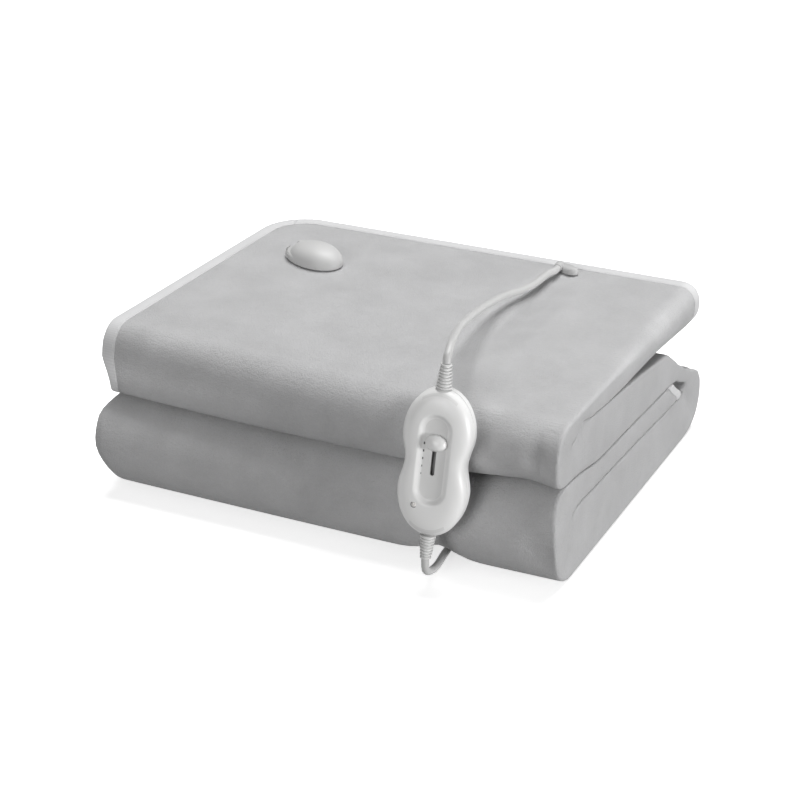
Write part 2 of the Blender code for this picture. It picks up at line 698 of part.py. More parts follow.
def smooth_route(points, spacing):
    """Points evenly spaced along a smooth curve through the route's own points. Its two ends stay straight."""
    route = [Vector(p) for p in points]
    fine = []
    for a, b, c, d in zip(route, route[1:], route[2:], route[3:]):
        for k in range(24):
            t = k / 24
            squared, cubed = 2 * a - 5 * b + 4 * c - d, 3 * b - 3 * c + d - a
            fine.append(0.5 * (2 * b + (c - a) * t + squared * t**2 + cubed * t**3))
    fine.append(route[-2])
    lengths = [0.0]
    for a, b in zip(fine, fine[1:]):
        lengths.append(lengths[-1] + (b - a).length)
    steps = max(2, round(lengths[-1] / spacing))
    marks = [lengths[-1] * k / steps for k in range(steps + 1)]
    even, at = [], 0
    for mark in marks:
        while at < len(lengths) - 2 and lengths[at + 1] < mark:
            at += 1
        part = (mark - lengths[at]) / (lengths[at + 1] - lengths[at])
        even.append(fine[at].lerp(fine[at + 1], part))
    return [route[0], *even, route[-1]]


def cord(name, points, spacing=0.014):
    curve = bpy.data.curves.new(name, "CURVE")
    curve.dimensions = "3D"
    curve.bevel_depth = LEAD / 2
    curve.bevel_resolution = 2
    curve.use_fill_caps = True
    spline = curve.splines.new("POLY")
    even = smooth_route(points, spacing)
    spline.points.add(len(even) - 1)
    for target, point in zip(spline.points, even):
        target.co = (*(point + ORIGIN_SHIFT), 1.0)
    return add_object(name, curve, "cord_plastic")


def build_gland():
    """The small oval collar sewn on the cloth, with the short nozzle that the control lead leaves."""
    frame = empty(
        "gland_frame", Matrix.Translation(on_top(*GLAND_AT, SEAT)) @ Matrix.Rotation(GLAND_TURN, 4, "Z")
    )
    collar = [oval(0.0105, 0.0056, 0.0), oval(0.0105, 0.0056, 0.0030), oval(0.0080, 0.0036, 0.0056)]
    gland = ring_loft("lead_gland", collar, "cord_plastic", frame)
    back = nozzle_back()
    turn = Matrix.Rotation(NOZZLE_TURN - math.pi / 2, 4, "Z")
    profile = [(0.0036, 0.0), (0.0036, NOZZLE_LENGTH)]
    placed = Matrix.Translation(back + ORIGIN_SHIFT) @ turn
    add_to(gland, turned("gland_nozzle", profile, "cord_plastic", None, 12, placed))


def nozzle_back():
    """Middle of the nozzle's back end, which is inside the collar."""
    return Vector((*NOZZLE_AT, top_height(*NOZZLE_AT) + REST + 0.0004))


def build_control_lead(controller):
    toward = Vector((math.cos(NOZZLE_TURN), math.sin(NOZZLE_TURN), 0))
    start = nozzle_back() + toward * (NOZZLE_LENGTH + SEAT)
    lying = [(x, y, top_height(x, y) + REST) for x, y in LYING_ROUTE]
    end, away = lead_end(controller, 1)
    cord("control_lead", [start, start + toward * 0.006, *lying, *ARCHED_ROUTE, end + away * 0.004, end])


def build_mains_lead(controller):
    start, away = lead_end(controller, -1)
    end = COIL_AT + Vector((BESIDE_COIL, 0, FLOOR + 0.0030))
    cord("mains_lead", [start, start + away * 0.0025, *MAINS_ROUTE, end - Vector((0, 0.004, 0)), end])


def lead_end(controller, side):
    """Where a lead meets the controller's upper (1) or lower (-1) sleeve, and the way it leaves."""
    reach = CONTROLLER_LENGTH / 2 + SLEEVE_LENGTH + 2 * SEAT
    at = controller.matrix_world @ Vector((0, side * reach, SLEEVE_MIDDLE)) - ORIGIN_SHIFT
    away = (controller.matrix_world.to_3x3() @ Vector((0, side, 0))).normalized()
    return at, away


def ring_solid(name, half_wide, height, slot, mid_radius, at, sides=36):
    """A turned ring with rounded edges, standing on z = 0."""
    soft = min(half_wide, height / 2) * 0.45
    section = [
        (mid_radius - half_wide + soft, 0.0), (mid_radius + half_wide - soft, 0.0),
        (mid_radius + half_wide, soft), (mid_radius + half_wide, height - soft),
        (mid_radius + half_wide - soft, height), (mid_radius - half_wide + soft, height),
        (mid_radius - half_wide, height - soft), (mid_radius - half_wide, soft),
    ]
    points = []
    for k in range(sides):
        angle = 2 * math.pi * k / sides
        for radius, z in section:
            points.append(at + Vector((radius * math.cos(angle), radius * math.sin(angle), z)))
    size = len(section)
    faces = []
    for k in range(sides):
        n = (k + 1) % sides
        for c in range(size):
            d = (c + 1) % size
            faces.append([k * size + c, k * size + d, n * size + d, n * size + c])
    return mesh_object(name, points, faces, slot)


def build_coil():
    half_wide = COIL_TURNS_WIDE * LEAD / 2
    height = COIL_TURNS_HIGH * LEAD
    at = COIL_AT + ORIGIN_SHIFT
    lifted = at + Vector((0, 0, TIE_WALL + 2 * SEAT))
    ring_solid("mains_coil", half_wide, height, "cord_plastic", COIL_MID_RADIUS, lifted)
    # The tie is a flat band round the turns, at the coil's left side.
    inner = half_wide + SEAT
    outer = inner + TIE_WALL
    low, high = SEAT / 2, height + 3 * SEAT + 2 * TIE_WALL
    points = []
    for y in (-TIE_WIDTH / 2, TIE_WIDTH / 2):
        for half, bottom, top in ((outer, low, high), (inner, TIE_WALL + SEAT, high - TIE_WALL)):
            for side, z in ((-1, bottom), (1, bottom), (1, top), (-1, top)):
                points.append(at + Vector((side * half - COIL_MID_RADIUS * 0.997, y, z)))
    faces = []
    for c in range(4):
        d = (c + 1) % 4
        faces += [[c, d, d + 8, c + 8], [c + 4, c + 12, d + 12, d + 4]]
        faces += [[c, c + 4, d + 4, d], [c + 8, d + 8, d + 12, c + 12]]
    mesh_object("coil_tie", points, faces, "tie_plastic")


def build_plug():
    """A flat two-pin plug lying left of the coil, and the last of the lead that reaches it."""
    plug_seat = Matrix.Translation(PLUG_AT + ORIGIN_SHIFT)
    frame = empty("plug_frame", plug_seat @ Matrix.Rotation(math.pi, 4, "Z"))
    body = []
    for along, half_wide, half_high in (
        (0.0, 0.0052, 0.0048), (0.0060, 0.0072, 0.0056), (0.0160, 0.0150, 0.0066),
        (0.0260, 0.0176, 0.0068), (0.0345, 0.0176, 0.0068), (PLUG_LENGTH, 0.0168, 0.0062),
    ):
        ring = []
        for k in range(20):
            angle = 2 * math.pi * k / 20
            c, s = math.cos(angle), math.sin(angle)
            ring.append(Vector((
                along,
                half_wide * math.copysign(abs(c) ** 0.6, c),
                half_high * math.copysign(abs(s) ** 0.6, s),
            )))
        body.append(ring)
    ring_loft("plug_body", body, "white_plastic", frame)
    for name, side in (("plug_pin_left", 1), ("plug_pin_right", -1)):
        pin_at = Matrix.Translation((PLUG_LENGTH + SEAT, side * PIN_APART / 2, 0))
        pin_at = pin_at @ Matrix.Rotation(-math.pi / 2, 4, "Z")
        turned(name, [(0.0020, 0.0), (0.0020, 0.0178), (0.0012, 0.0190)], "pin_metal", frame, 10, pin_at)
    start = COIL_AT + Vector((0, BESIDE_COIL, PLUG_AT.z))
    end = PLUG_AT + Vector((SEAT, 0, 0))
    along = Vector((0.004, 0, 0))
    cord("mains_tail", [start, start - along, *TAIL_ROUTE, end + 2 * along, end])


def main():
    for existing in list(bpy.data.objects):
        bpy.data.objects.remove(existing, do_unlink=True)
    build_blanket()
    build_bindings()
    frame = build_controller()
    bpy.context.view_layer.update()
    build_connector()
    build_gland()
    build_control_lead(frame)
    build_mains_lead(frame)
    build_coil()
    build_plug()


main()
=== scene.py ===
"""How the folded electric heated blanket and its hand controller look, round their own frame.

Metres, +Z up. The cloth is laid out flat by its own sizes and folded point by point, and the hard
pieces are modelled round their own middle and then set in place.
"""

import math

import bmesh
import bpy
import numpy as np
from mathutils import Matrix, Vector


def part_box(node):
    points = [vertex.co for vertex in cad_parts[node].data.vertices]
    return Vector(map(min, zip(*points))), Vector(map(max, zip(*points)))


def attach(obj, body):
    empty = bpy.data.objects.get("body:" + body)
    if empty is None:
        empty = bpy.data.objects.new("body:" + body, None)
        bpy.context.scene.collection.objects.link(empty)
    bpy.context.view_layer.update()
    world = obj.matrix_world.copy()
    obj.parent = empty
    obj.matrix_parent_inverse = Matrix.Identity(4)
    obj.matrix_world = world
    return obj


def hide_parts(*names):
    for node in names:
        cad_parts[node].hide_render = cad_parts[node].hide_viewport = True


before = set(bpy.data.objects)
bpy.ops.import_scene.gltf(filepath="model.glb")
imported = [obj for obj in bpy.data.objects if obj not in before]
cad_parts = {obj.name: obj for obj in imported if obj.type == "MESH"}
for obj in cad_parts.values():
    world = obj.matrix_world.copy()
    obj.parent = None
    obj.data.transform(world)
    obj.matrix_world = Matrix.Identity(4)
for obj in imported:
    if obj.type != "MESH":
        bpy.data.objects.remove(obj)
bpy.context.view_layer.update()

# ---- sizes

# Folded pack, before the cloth settles
PACK_WIDTH = 0.400
PACK_DEPTH = 0.318
CLOTH = 0.0062
PLY_GAP = 0.0024
FOLD_HOLLOW = 0.0011
LAYER_GAP = 0.0025
CORNER_RADIUS = 0.040
LEFT_FOLD_INSET = 0.004
LEFT_INSETS = (0.0, 0.009)
UPPER_LOFT = 0.88
LOWER_LOFT = 1.10
PLY_PITCH = CLOTH + PLY_GAP
STACK_HALF = (4 * CLOTH + 3 * PLY_GAP) / 2
UPPER_HALF = STACK_HALF * UPPER_LOFT
LOWER_HALF = STACK_HALF * LOWER_LOFT
UPPER_ROLL = UPPER_HALF + FOLD_HOLLOW
LOWER_ROLL = LOWER_HALF + FOLD_HOLLOW
LAYER_Z = {4: LOWER_HALF}
LAYER_Z[3] = LAYER_Z[4] + 2 * LOWER_ROLL
LAYER_Z[2] = LAYER_Z[3] + LOWER_HALF + LAYER_GAP + UPPER_HALF
LAYER_Z[1] = LAYER_Z[2] + 2 * UPPER_ROLL
PACK_HEIGHT = LAYER_Z[1] + UPPER_HALF
BACK_WRAP = (LAYER_Z[2] - LAYER_Z[4]) / 2
INNER_END = 0.004

# Edge binding
TAPE = 0.0008
TAPE_WIDTH = 0.011
TAPE_SEAT = 0.0006
PINCHED = CLOTH - 2 * (TAPE + TAPE_SEAT)
STITCH_PITCH = 0.0034
STITCH_LENGTH = 0.0024
THREAD = 0.0005
THREAD_SIDES = 6
STITCH_INSET = 0.0017  # from the tape's inner edge
STITCH_SWELL = ((0.0, 0.35), (0.25, 1.0), (0.75, 1.0), (1.0, 0.35))  # share along, and of THREAD
PUCKERS = ((0.00012, 0.0213), (0.00008, 0.0131))  # rise and wave length

# How far the soft pack departs from its even fold
LEAD_X = 0.300
LEAD_TUNNEL = 0.0085
TUNNEL_HALF = 0.017
TUNNEL_REACH = 0.075
FRONT_CLIMB = 0.0055
CLIMB_DEPTH = 0.150
FRONT_SAG = 0.0040
LOWER_SET_BACK = 0.003
UPPER_SET_BACK = 0.029
SET_BACK_FADE = 3.5
UPPER_STARTS = (0.52, 0.82)  # shares of the height
WRAP_FOOT = 0.021
FOOT_SPAN = (0.28, 0.36)  # middle and reach, as shares of the height
WRAP_SHOULDER = 0.018
SHOULDER_SPAN = (0.66, 0.26)
BACK_STARTS = 0.40  # share of the depth from which the back wrap leans
CROWN = 0.012
TOP_SKEW = 0.010
END_ROUND = 0.014  # the left end
END_REACH = 0.060

# The right end. Each pair of places along X is where a change starts and where it is full.
WRAP_TURNS = (0.27, 0.38)
WRAP_SHIFT = (  # how far the back wrap shifts at each height
    (0.0, 0.036), (0.009, 0.036), (0.0225, 0.029), (0.0442, 0.0128), (0.0619, -0.001),
    (0.0859, -0.032), (0.1033, -0.041), (0.1047, 0.0),
)
FOLDS_RISE = (0.318, 0.392)
END_RISES = (  # of a fold between layers: its height, its reach, and its rise at each depth
    (0.104, 0.030, ((0.012, 0.002), (0.050, 0.0145), (0.13, 0.009), (0.30, -0.002))),
    (0.0726, 0.035,
     ((0.03, 0.006), (0.049, 0.0045), (0.085, -0.001), (0.14, -0.001), (0.25, -0.002))),
    (0.036, 0.036, ((0.010, 0.004), (0.045, 0.018), (0.166, 0.016), (0.27, 0.012))),
)
GAPS_CLOSE = (0.365, 0.392)
GAP_CLOSED = 0.90
GAP_REACH = 0.004
GAP_MIDDLES = (
    LAYER_Z[4] + LOWER_ROLL,
    LAYER_Z[3] + LOWER_HALF + LAYER_GAP / 2,
    LAYER_Z[2] + UPPER_ROLL,
)
ROLL_FLATTENS = (0.92 * PACK_WIDTH, 0.99 * PACK_WIDTH)
ROLL_FLAT = 0.50
ORIGIN_SHIFT = Vector((-0.1992, -0.1534, 0.0))

# Controller, in its own frame: X across, Y up its length, Z out of its face
CONTROLLER_AT = Vector((0.1095, -0.1560, 0.0979))
CONTROLLER_LENGTH = 0.1125
LOBE_HALF = 0.0263
WAIST_HALF = 0.0227
LOBE_OFFSET = 0.0215
SHELL_SPLIT = 0.0090
CONTROLLER_THICK = 0.0200
RECESS_HALF = 0.0125
RECESS_LENGTH = 0.070
RECESS_CENTRE = 0.0040
RECESS_FLOOR = CONTROLLER_THICK - 0.0028
SHELL_EDGE = 0.0003  # bevel on each shell at the parting line
UNDER_RADIUS = 0.0032  # of the back shell's lower edge
# The face between its side and the recess: share of the way in, and share of the height
FACE_RISE = (
    (0.045, 0.47), (0.13, 0.66), (0.25, 0.80), (0.41, 0.905), (0.60, 0.965), (0.80, 0.992),
    (0.95, 1.0), (1.0, 0.998),
)
# The recess's soft wall: distance in from its rim, and depth
RECESS_WALL = (
    (0.0007, 0.0004), (0.0015, 0.0010), (0.0023, 0.0017), (0.0031, 0.0023), (0.0041, 0.0027),
    (0.0052, 0.0028),
)
SLOT_HALF = 0.0016
SLOT_ABOVE = 0.0036  # past the slider's highest place
SLOT_BELOW = 0.0048  # past its lowest
SLIDER_AT = 0.0165
SLIDER_TRAVEL = 0.0200
LAMP_AT = (-0.0105, -0.0318, CONTROLLER_THICK - 0.0010)
HEAT_MARKS = 5
MARK_PITCH = 0.0058
SLEEVE_LENGTH = 0.0180
SLEEVE_BASE = 0.0057
SLEEVE_TIP = 0.0043
SLEEVE_MIDDLE = 0.0098
SLEEVE_RIBS = 7
SHELL_SIDES = 112
SEAT = 0.0003

LEAD = 0.0060
COIL_AT = Vector((0.0348, 0.2406, 0.0))
COIL_RADIUS = 0.0420

controller_frame = (
    Matrix.Translation(CONTROLLER_AT)
    @ Matrix.Rotation(math.radians(8), 4, "Z")
    @ Matrix.Rotation(math.radians(81), 4, "X")
    @ Matrix.Rotation(math.radians(-3), 4, "Z")
)
CLOTH_TURN = Matrix.Rotation(math.radians(-24), 4, "Z")  # of what is fixed on the cloth
connector_frame = Matrix.Translation((-0.1117, 0.0711, 0.1352)) @ CLOTH_TURN
CONNECTOR_HALVES = (0.0298, 0.0186)
LATCH_AT = (-0.1363, 0.0952)
COLLAR_AT = (0.0916, 0.1416)

# ---- camera

CAMERA_TARGET = Vector((0.00469, -0.0034, 0.05891))
CAMERA_DISTANCE = 1.71631
CAMERA_SIDE = 0.44534  # radians round towards +X
CAMERA_RISE = 0.43826


def add_object(data):
    made = bpy.data.objects.new(data.name, data)
    bpy.context.collection.objects.link(made)
    return made


def place_camera():
    data = bpy.data.cameras.new("photo_camera")
    data.lens = 94.878
    camera = add_object(data)
    back = Vector((
        math.sin(CAMERA_SIDE) * math.cos(CAMERA_RISE),
        -math.cos(CAMERA_SIDE) * math.cos(CAMERA_RISE),
        math.sin(CAMERA_RISE),
    ))
    camera.location = CAMERA_TARGET + back * CAMERA_DISTANCE
    camera.rotation_euler = back.to_track_quat("Z", "Y").to_euler()
    bpy.context.scene.camera = camera


place_camera()

# ---- finishes


class Finish:
    """A material with its shader, and short ways to add what feeds it."""

    def __init__(self, name, colour, roughness, **sockets):
        self.material = bpy.data.materials.new(name)
        self.material.use_nodes = True
        self.tree = self.material.node_tree
        self.shader = self.tree.nodes["Principled BSDF"]
        self.colour = colour
        self.shader.inputs["Base Color"].default_value = (*colour, 1)
        self.shader.inputs["Roughness"].default_value = roughness
        for socket, value in sockets.items():
            self.shader.inputs[socket.replace("_", " ")].default_value = value
        self.place = self.tree.nodes.new("ShaderNodeTexCoord")

    def node(self, kind, inputs=None, **settings):
        made = self.tree.nodes.new(kind)
        for setting, value in settings.items():
            setattr(made, setting, value)
        for socket, value in (inputs or {}).items():
            if isinstance(value, bpy.types.NodeSocket):
                self.tree.links.new(value, made.inputs[socket])
            else:
                made.inputs[socket].default_value = value
        return made

    def noise(self, scale, detail=3.0, roughness=0.5, stretch=(1, 1, 1), coordinates="Object"):
        inputs = {"Vector": self.place.outputs[coordinates], "Scale": stretch}
        spread = self.node("ShaderNodeMapping", inputs).outputs[0]
        inputs = {"Vector": spread, "Scale": scale, "Detail": detail, "Roughness": roughness}
        return self.node("ShaderNodeTexNoise", inputs).outputs[0]

    def remap(self, value, low, high, to_low, to_high):
        inputs = {"Value": value, 1: low, 2: high, 3: to_low, 4: to_high}
        return self.node("ShaderNodeMapRange", inputs).outputs[0]

    def math(self, operation, a, b):
        return self.node("ShaderNodeMath", {0: a, 1: b}, operation=operation).outputs[0]

    def blend(self, *parts):
        """The sum of values, each times its share."""
        total = None
        for value, share in parts:
            scaled = self.math("MULTIPLY", value, share)
            total = scaled if total is None else self.math("ADD", total, scaled)
        return total

    def tint(self, value, darker, lighter):
        """Base colour between two shades of the finish's own colour, by a value from 0 to 1."""
        inputs = {
            0: value,
            6: tuple(c * darker for c in self.colour) + (1,),
            7: tuple(min(1, c * lighter) for c in self.colour) + (1,),
        }
        mix = self.node("ShaderNodeMix", inputs, data_type="RGBA")
        self.tree.links.new(mix.outputs[2], self.shader.inputs["Base Color"])

    def bump(self, value, distance, strength=1.0):
        inputs = {"Height": value, "Distance": distance, "Strength": strength}
        made = self.node("ShaderNodeBump", inputs)
        self.tree.links.new(made.outputs[0], self.shader.inputs["Normal"])

    def roughen(self, value, low, high):
        spread = self.remap(value, 0.3, 0.7, low, high)
        self.tree.links.new(spread, self.shader.inputs["Roughness"])


def fleece():
    """Short brushed pile: soft patches, a fine nap and a little sheen."""
    made = Finish(
        "fleece", (0.49, 0.49, 0.495), 0.95,
        Sheen_Weight=0.25, Sheen_Roughness=0.6, Specular_IOR_Level=0.15,
    )
    patches = made.remap(made.noise(28, 4, 0.6), 0.3, 0.7, 0.0, 1.0)
    nap = made.remap(made.noise(900, 3, 0.65), 0.25, 0.75, 0.0, 1.0)
    brushed = made.noise(260, 4, 0.7, (1.0, 2.2, 1.0), "UV")
    made.tint(made.blend((patches, 0.35), (nap, 0.30), (brushed, 0.35)), 0.80, 1.17)
    height = made.math("ADD", made.math("MULTIPLY", nap, 0.5), brushed)
    made.bump(height, 0.0010, 0.85)
    return made.material


def woven_tape():
    """A smooth tape with fine cross ribs, a little paler than the cloth."""
    colour = (0.60, 0.60, 0.605)
    made = Finish("woven_tape", colour, 0.72, Sheen_Weight=0.12, Specular_IOR_Level=0.3)
    inputs = {"Vector": made.place.outputs["UV"], "Scale": 260.0, "Distortion": 1.5, "Detail": 2.0}
    ribs = made.node("ShaderNodeTexWave", inputs, bands_direction="X").outputs[1]
    made.tint(made.blend((ribs, 0.4), (made.noise(60, 3), 0.6)), 0.92, 1.07)
    made.bump(ribs, 0.0001, 0.35)
    return made.material


def sewing_thread():
    made = Finish("sewing_thread", (0.66, 0.66, 0.66), 0.7, Sheen_Weight=0.1)
    twist = made.noise(2200, 2)
    made.tint(twist, 0.88, 1.08)
    made.bump(twist, 0.0001, 0.5)
    return made.material


def moulded_plastic(name, colour, roughness, grain=0.00003):
    """Satin moulding: a faint grain and slightly uneven gloss."""
    made = Finish(
        name, colour, roughness, Coat_Weight=0.08, Coat_Roughness=0.25, Subsurface_Weight=0.05,
        Subsurface_Radius=(0.002, 0.002, 0.002), Subsurface_Scale=0.5,
    )
    cloudy = made.noise(35, 3)
    made.tint(cloudy, 0.98, 1.015)
    made.roughen(cloudy, roughness - 0.04, roughness + 0.06)
    made.bump(made.noise(3200, 2), grain, 0.5)
    return made.material


def cord_sheath():
    """Flexible cord: satin, with faint draw lines along it."""
    made = Finish("cord_sheath", (0.50, 0.50, 0.497), 0.42, Specular_IOR_Level=0.45)
    drawn = made.noise(500, 2, 0.5, (0.08, 1.0, 1.0), "UV")
    made.tint(made.noise(40, 3), 0.95, 1.03)
    made.roughen(drawn, 0.36, 0.5)
    made.bump(drawn, 0.00008, 0.4)
    return made.material


def clear_lens():
    made = Finish("lamp_lens", (0.62, 0.60, 0.58), 0.12, Coat_Weight=0.6, Coat_Roughness=0.05)
    made.tint(made.noise(900, 2), 0.9, 1.05)
    return made.material


def printed_mark():
    made = Finish("grey_ink", (0.07, 0.07, 0.075), 0.6)
    made.tint(made.noise(2500, 3), 0.75, 1.25)
    return made.material


def plated_metal():
    made = Finish("plated_metal", (0.78, 0.75, 0.68), 0.28, Metallic=1.0)
    lines = made.noise(900, 3, 0.5, (1, 12, 12))
    made.tint(made.noise(300, 3), 0.92, 1.04)
    made.roughen(lines, 0.22, 0.36)
    made.bump(lines, 0.00004, 0.4)
    return made.material


FLEECE = fleece()
TAPE_FINISH = woven_tape()
THREAD_FINISH = sewing_thread()
WHITE_SHELL = moulded_plastic("white_shell", (0.75, 0.75, 0.745), 0.36)
CONNECTOR_WHITE = moulded_plastic("connector_white", (0.52, 0.52, 0.517), 0.52)
COLLAR_GREY = moulded_plastic("collar_grey", (0.44, 0.44, 0.44), 0.6)
WHITE_BUTTON = moulded_plastic("white_button", (0.72, 0.72, 0.715), 0.30)
RECESS_WHITE = moulded_plastic("recess_white", (0.66, 0.66, 0.655), 0.45, 0.00008)
SOFT_SLEEVE = moulded_plastic("soft_sleeve", (0.62, 0.62, 0.615), 0.55)
# Dark grey, painted shade inside the slider's slot; the ring round the lamp uses it too.
SLOT_DARK = moulded_plastic("slot_shade", (0.24, 0.24, 0.242), 0.7)
CORD_FINISH = cord_sheath()
LENS = clear_lens()
INK = printed_mark()
METAL = plated_metal()
TIE_FINISH = moulded_plastic("tie_plastic", (0.60, 0.60, 0.60), 0.5)

# ---- cords


def smooth_route(points, spacing):
    """Points evenly spaced on a smooth curve through the route's points. Its ends stay straight."""
    route = [Vector(p) for p in points]
    fine = []
    for a, b, c, d in zip(route, route[1:], route[2:], route[3:]):
        for k in range(24):
            t = k / 24
            squared, cubed = 2 * a - 5 * b + 4 * c - d, 3 * b - 3 * c + d - a
            fine.append(0.5 * (2 * b + (c - a) * t + squared * t**2 + cubed * t**3))
    fine.append(route[-2])
    lengths = np.cumsum([0.0, *((b - a).length for a, b in zip(fine, fine[1:]))])
    marks = np.linspace(0.0, lengths[-1], max(2, round(lengths[-1] / spacing)) + 1)
    even = zip(*(np.interp(marks, lengths, axis) for axis in zip(*fine)))
    return [route[0], *map(Vector, even), route[-1]]


def cord(name, points):
    curve = bpy.data.curves.new(name, "CURVE")
    curve.dimensions = "3D"
    curve.bevel_depth = LEAD / 2
    curve.bevel_resolution = 5
    curve.use_fill_caps = True
    spline = curve.splines.new("POLY")
    spline.points.add(len(points) - 1)
    for target, point in zip(spline.points, points):
        target.co = (*point, 1.0)
    spline.use_smooth = True
    curve.materials.append(CORD_FINISH)
    return add_object(curve)


def declare_cord(lead, nodes, points, digits, **facts):
    """Lets the cord ride on the pack and hides the parts it stands in for."""
    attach(lead, "pack")
    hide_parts(*nodes)
    length = sum((b - a).length for a, b in zip(points, points[1:]))
    tuple(points[0])


def sleeve_mouth(side):
    """Where a lead leaves the controller's upper (1) or lower (-1) sleeve, and which way."""
    reach = CONTROLLER_LENGTH / 2 + SLEEVE_LENGTH + 2 * SEAT
    at = controller_frame @ Vector((0, side * reach, SLEEVE_MIDDLE))
    return at, (controller_frame.to_3x3() @ Vector((0, side, 0))).normalized()


OVER_ROUTE = [
    (0.0821, 0.1201, 0.1384), (0.0816, 0.1037, 0.1387), (0.0809, 0.0873, 0.1394),
    (0.0786, 0.0700, 0.1412), (0.0757, 0.0522, 0.1440), (0.0744, 0.0347, 0.1468),
    (0.0748, 0.0170, 0.1497), (0.0777, -0.0099, 0.1550), (0.0837, -0.0449, 0.1624),
    (0.0918, -0.0784, 0.1706), (0.0976, -0.0985, 0.1756), (0.1038, -0.1186, 0.1795),
    (0.1090, -0.1363, 0.1814), (0.1117, -0.1462, 0.1800),
]
NOZZLE_MOUTH = Vector((0.0846, 0.1348, 0.1384))
NOZZLE_WAY = Vector((math.cos(math.radians(-86)), math.sin(math.radians(-86)), 0))


def run_control_lead():
    """From the collar on the cloth, in a shallow arch over the front roll, to the controller."""
    end, away = sleeve_mouth(1)
    start = [NOZZLE_MOUTH, NOZZLE_MOUTH + NOZZLE_WAY * 0.006]
    points = smooth_route([*start, *OVER_ROUTE, end + away * 0.004, end], 0.0035)
    lead = cord("lead_over_the_top", points)
    declare_cord(lead, ["control_lead"], points, 3, far_end="object", lay="loose")


FLOOR_RUN = [
    (0.1034, -0.1384), (0.1020, -0.1274), (0.1010, -0.1114), (0.1008, -0.0834), (0.1008, -0.0384),
    (0.1008, 0.0116), (0.1008, 0.0616), (0.1008, 0.1066), (0.1008, 0.1466), (0.1006, 0.1726),
    (0.0988, 0.1896),
]
UNDER_ROUTE = [
    (0.1084, -0.1774, 0.0165), (0.1078, -0.1730, 0.0119), (0.1068, -0.1664, 0.0084),
    (0.1060, -0.1584, 0.0056), (0.1048, -0.1484, 0.0037),
    *((x, y, LEAD / 2 + 0.0002) for x, y in FLOOR_RUN),
    (0.0950, 0.2046, 0.0036), (0.0898, 0.2166, 0.0042), (0.0856, 0.2280, 0.0046),
]
TAIL_ROUTE = [
    (0.0168, 0.2886, 0.0080), (0.0008, 0.2868, 0.0070), (-0.0152, 0.2818, 0.0066),
    (-0.0312, 0.2734, 0.0068),
]
PLUG_AT = Vector((-0.0552, 0.2681, 0.0070))
PLUG_SECTIONS = [  # distance along, half width, half height
    (0.0, 0.0052, 0.0048), (0.0030, 0.0056, 0.0050), (0.0060, 0.0072, 0.0056),
    (0.0110, 0.0112, 0.0062), (0.0160, 0.0150, 0.0066), (0.0210, 0.0169, 0.0068),
    (0.0260, 0.0176, 0.0068), (0.0345, 0.0176, 0.0068), (0.0355, 0.0168, 0.0062),
]
LOW_TURNS, HIGH_TURNS = 0.0046, 0.0106  # heights of the lead's middle in the coil's two layers
COIL_STEPS = 40  # points in each turn
# The coil's radius after each number of turns: three inwards below, and three outwards above
COIL_RADII = (
    (0.0, COIL_RADIUS), (0.75, COIL_RADIUS), (1.0, 0.0390), (1.75, 0.0360), (2.75, 0.0300),
    (3.15, 0.0300), (3.75, 0.0330), (4.25, 0.0360), (5.0, 0.0390), (5.5, COIL_RADIUS),
    (6.25, COIL_RADIUS),
)
LAYER_STEP = (2.9, 3.15)  # turns between which the lead climbs to the upper layer


def coil_turns():
    """From the coil's right side round to its back."""
    places, widths = zip(*COIL_RADII)
    found = []
    for k in range(1, round(places[-1] * COIL_STEPS)):
        turn = k / COIL_STEPS
        radius = float(np.interp(turn, places, widths))
        angle = 2 * math.pi * turn
        height = float(np.interp(turn, LAYER_STEP, (LOW_TURNS, HIGH_TURNS)))
        found.append(COIL_AT + Vector((radius * math.cos(angle), radius * math.sin(angle), height)))
    return found


def run_mains_lead():
    """Down from the controller, under the pack, into the coil behind it and on to the plug."""
    start, away = sleeve_mouth(-1)
    first = COIL_AT + Vector((COIL_RADIUS, 0, LOW_TURNS))
    onward = COIL_AT + Vector((COIL_RADIUS, 0.003, LOW_TURNS))
    under = smooth_route([start, start + away * 0.0025, *UNDER_ROUTE, first, onward], 0.004)
    last = COIL_AT + Vector((0, COIL_RADIUS, HIGH_TURNS))
    plug_back = PLUG_AT + Vector((SEAT, 0, 0))
    before_plug = plug_back + Vector((0.008, 0, 0))
    tail = [last + Vector((0.004, 0, 0)), last, *TAIL_ROUTE, before_plug, plug_back]
    points = under[:-1] + coil_turns() + smooth_route(tail, 0.004)[1:]
    return cord("lead_from_the_mains", points), points


run_control_lead()
mains_lead, mains_points = run_mains_lead()

# ---- folded cloth


def smooth_step(value, start, end):
    t = min(1.0, max(0.0, (value - start) / (end - start)))
    return t * t * (3 - 2 * t)


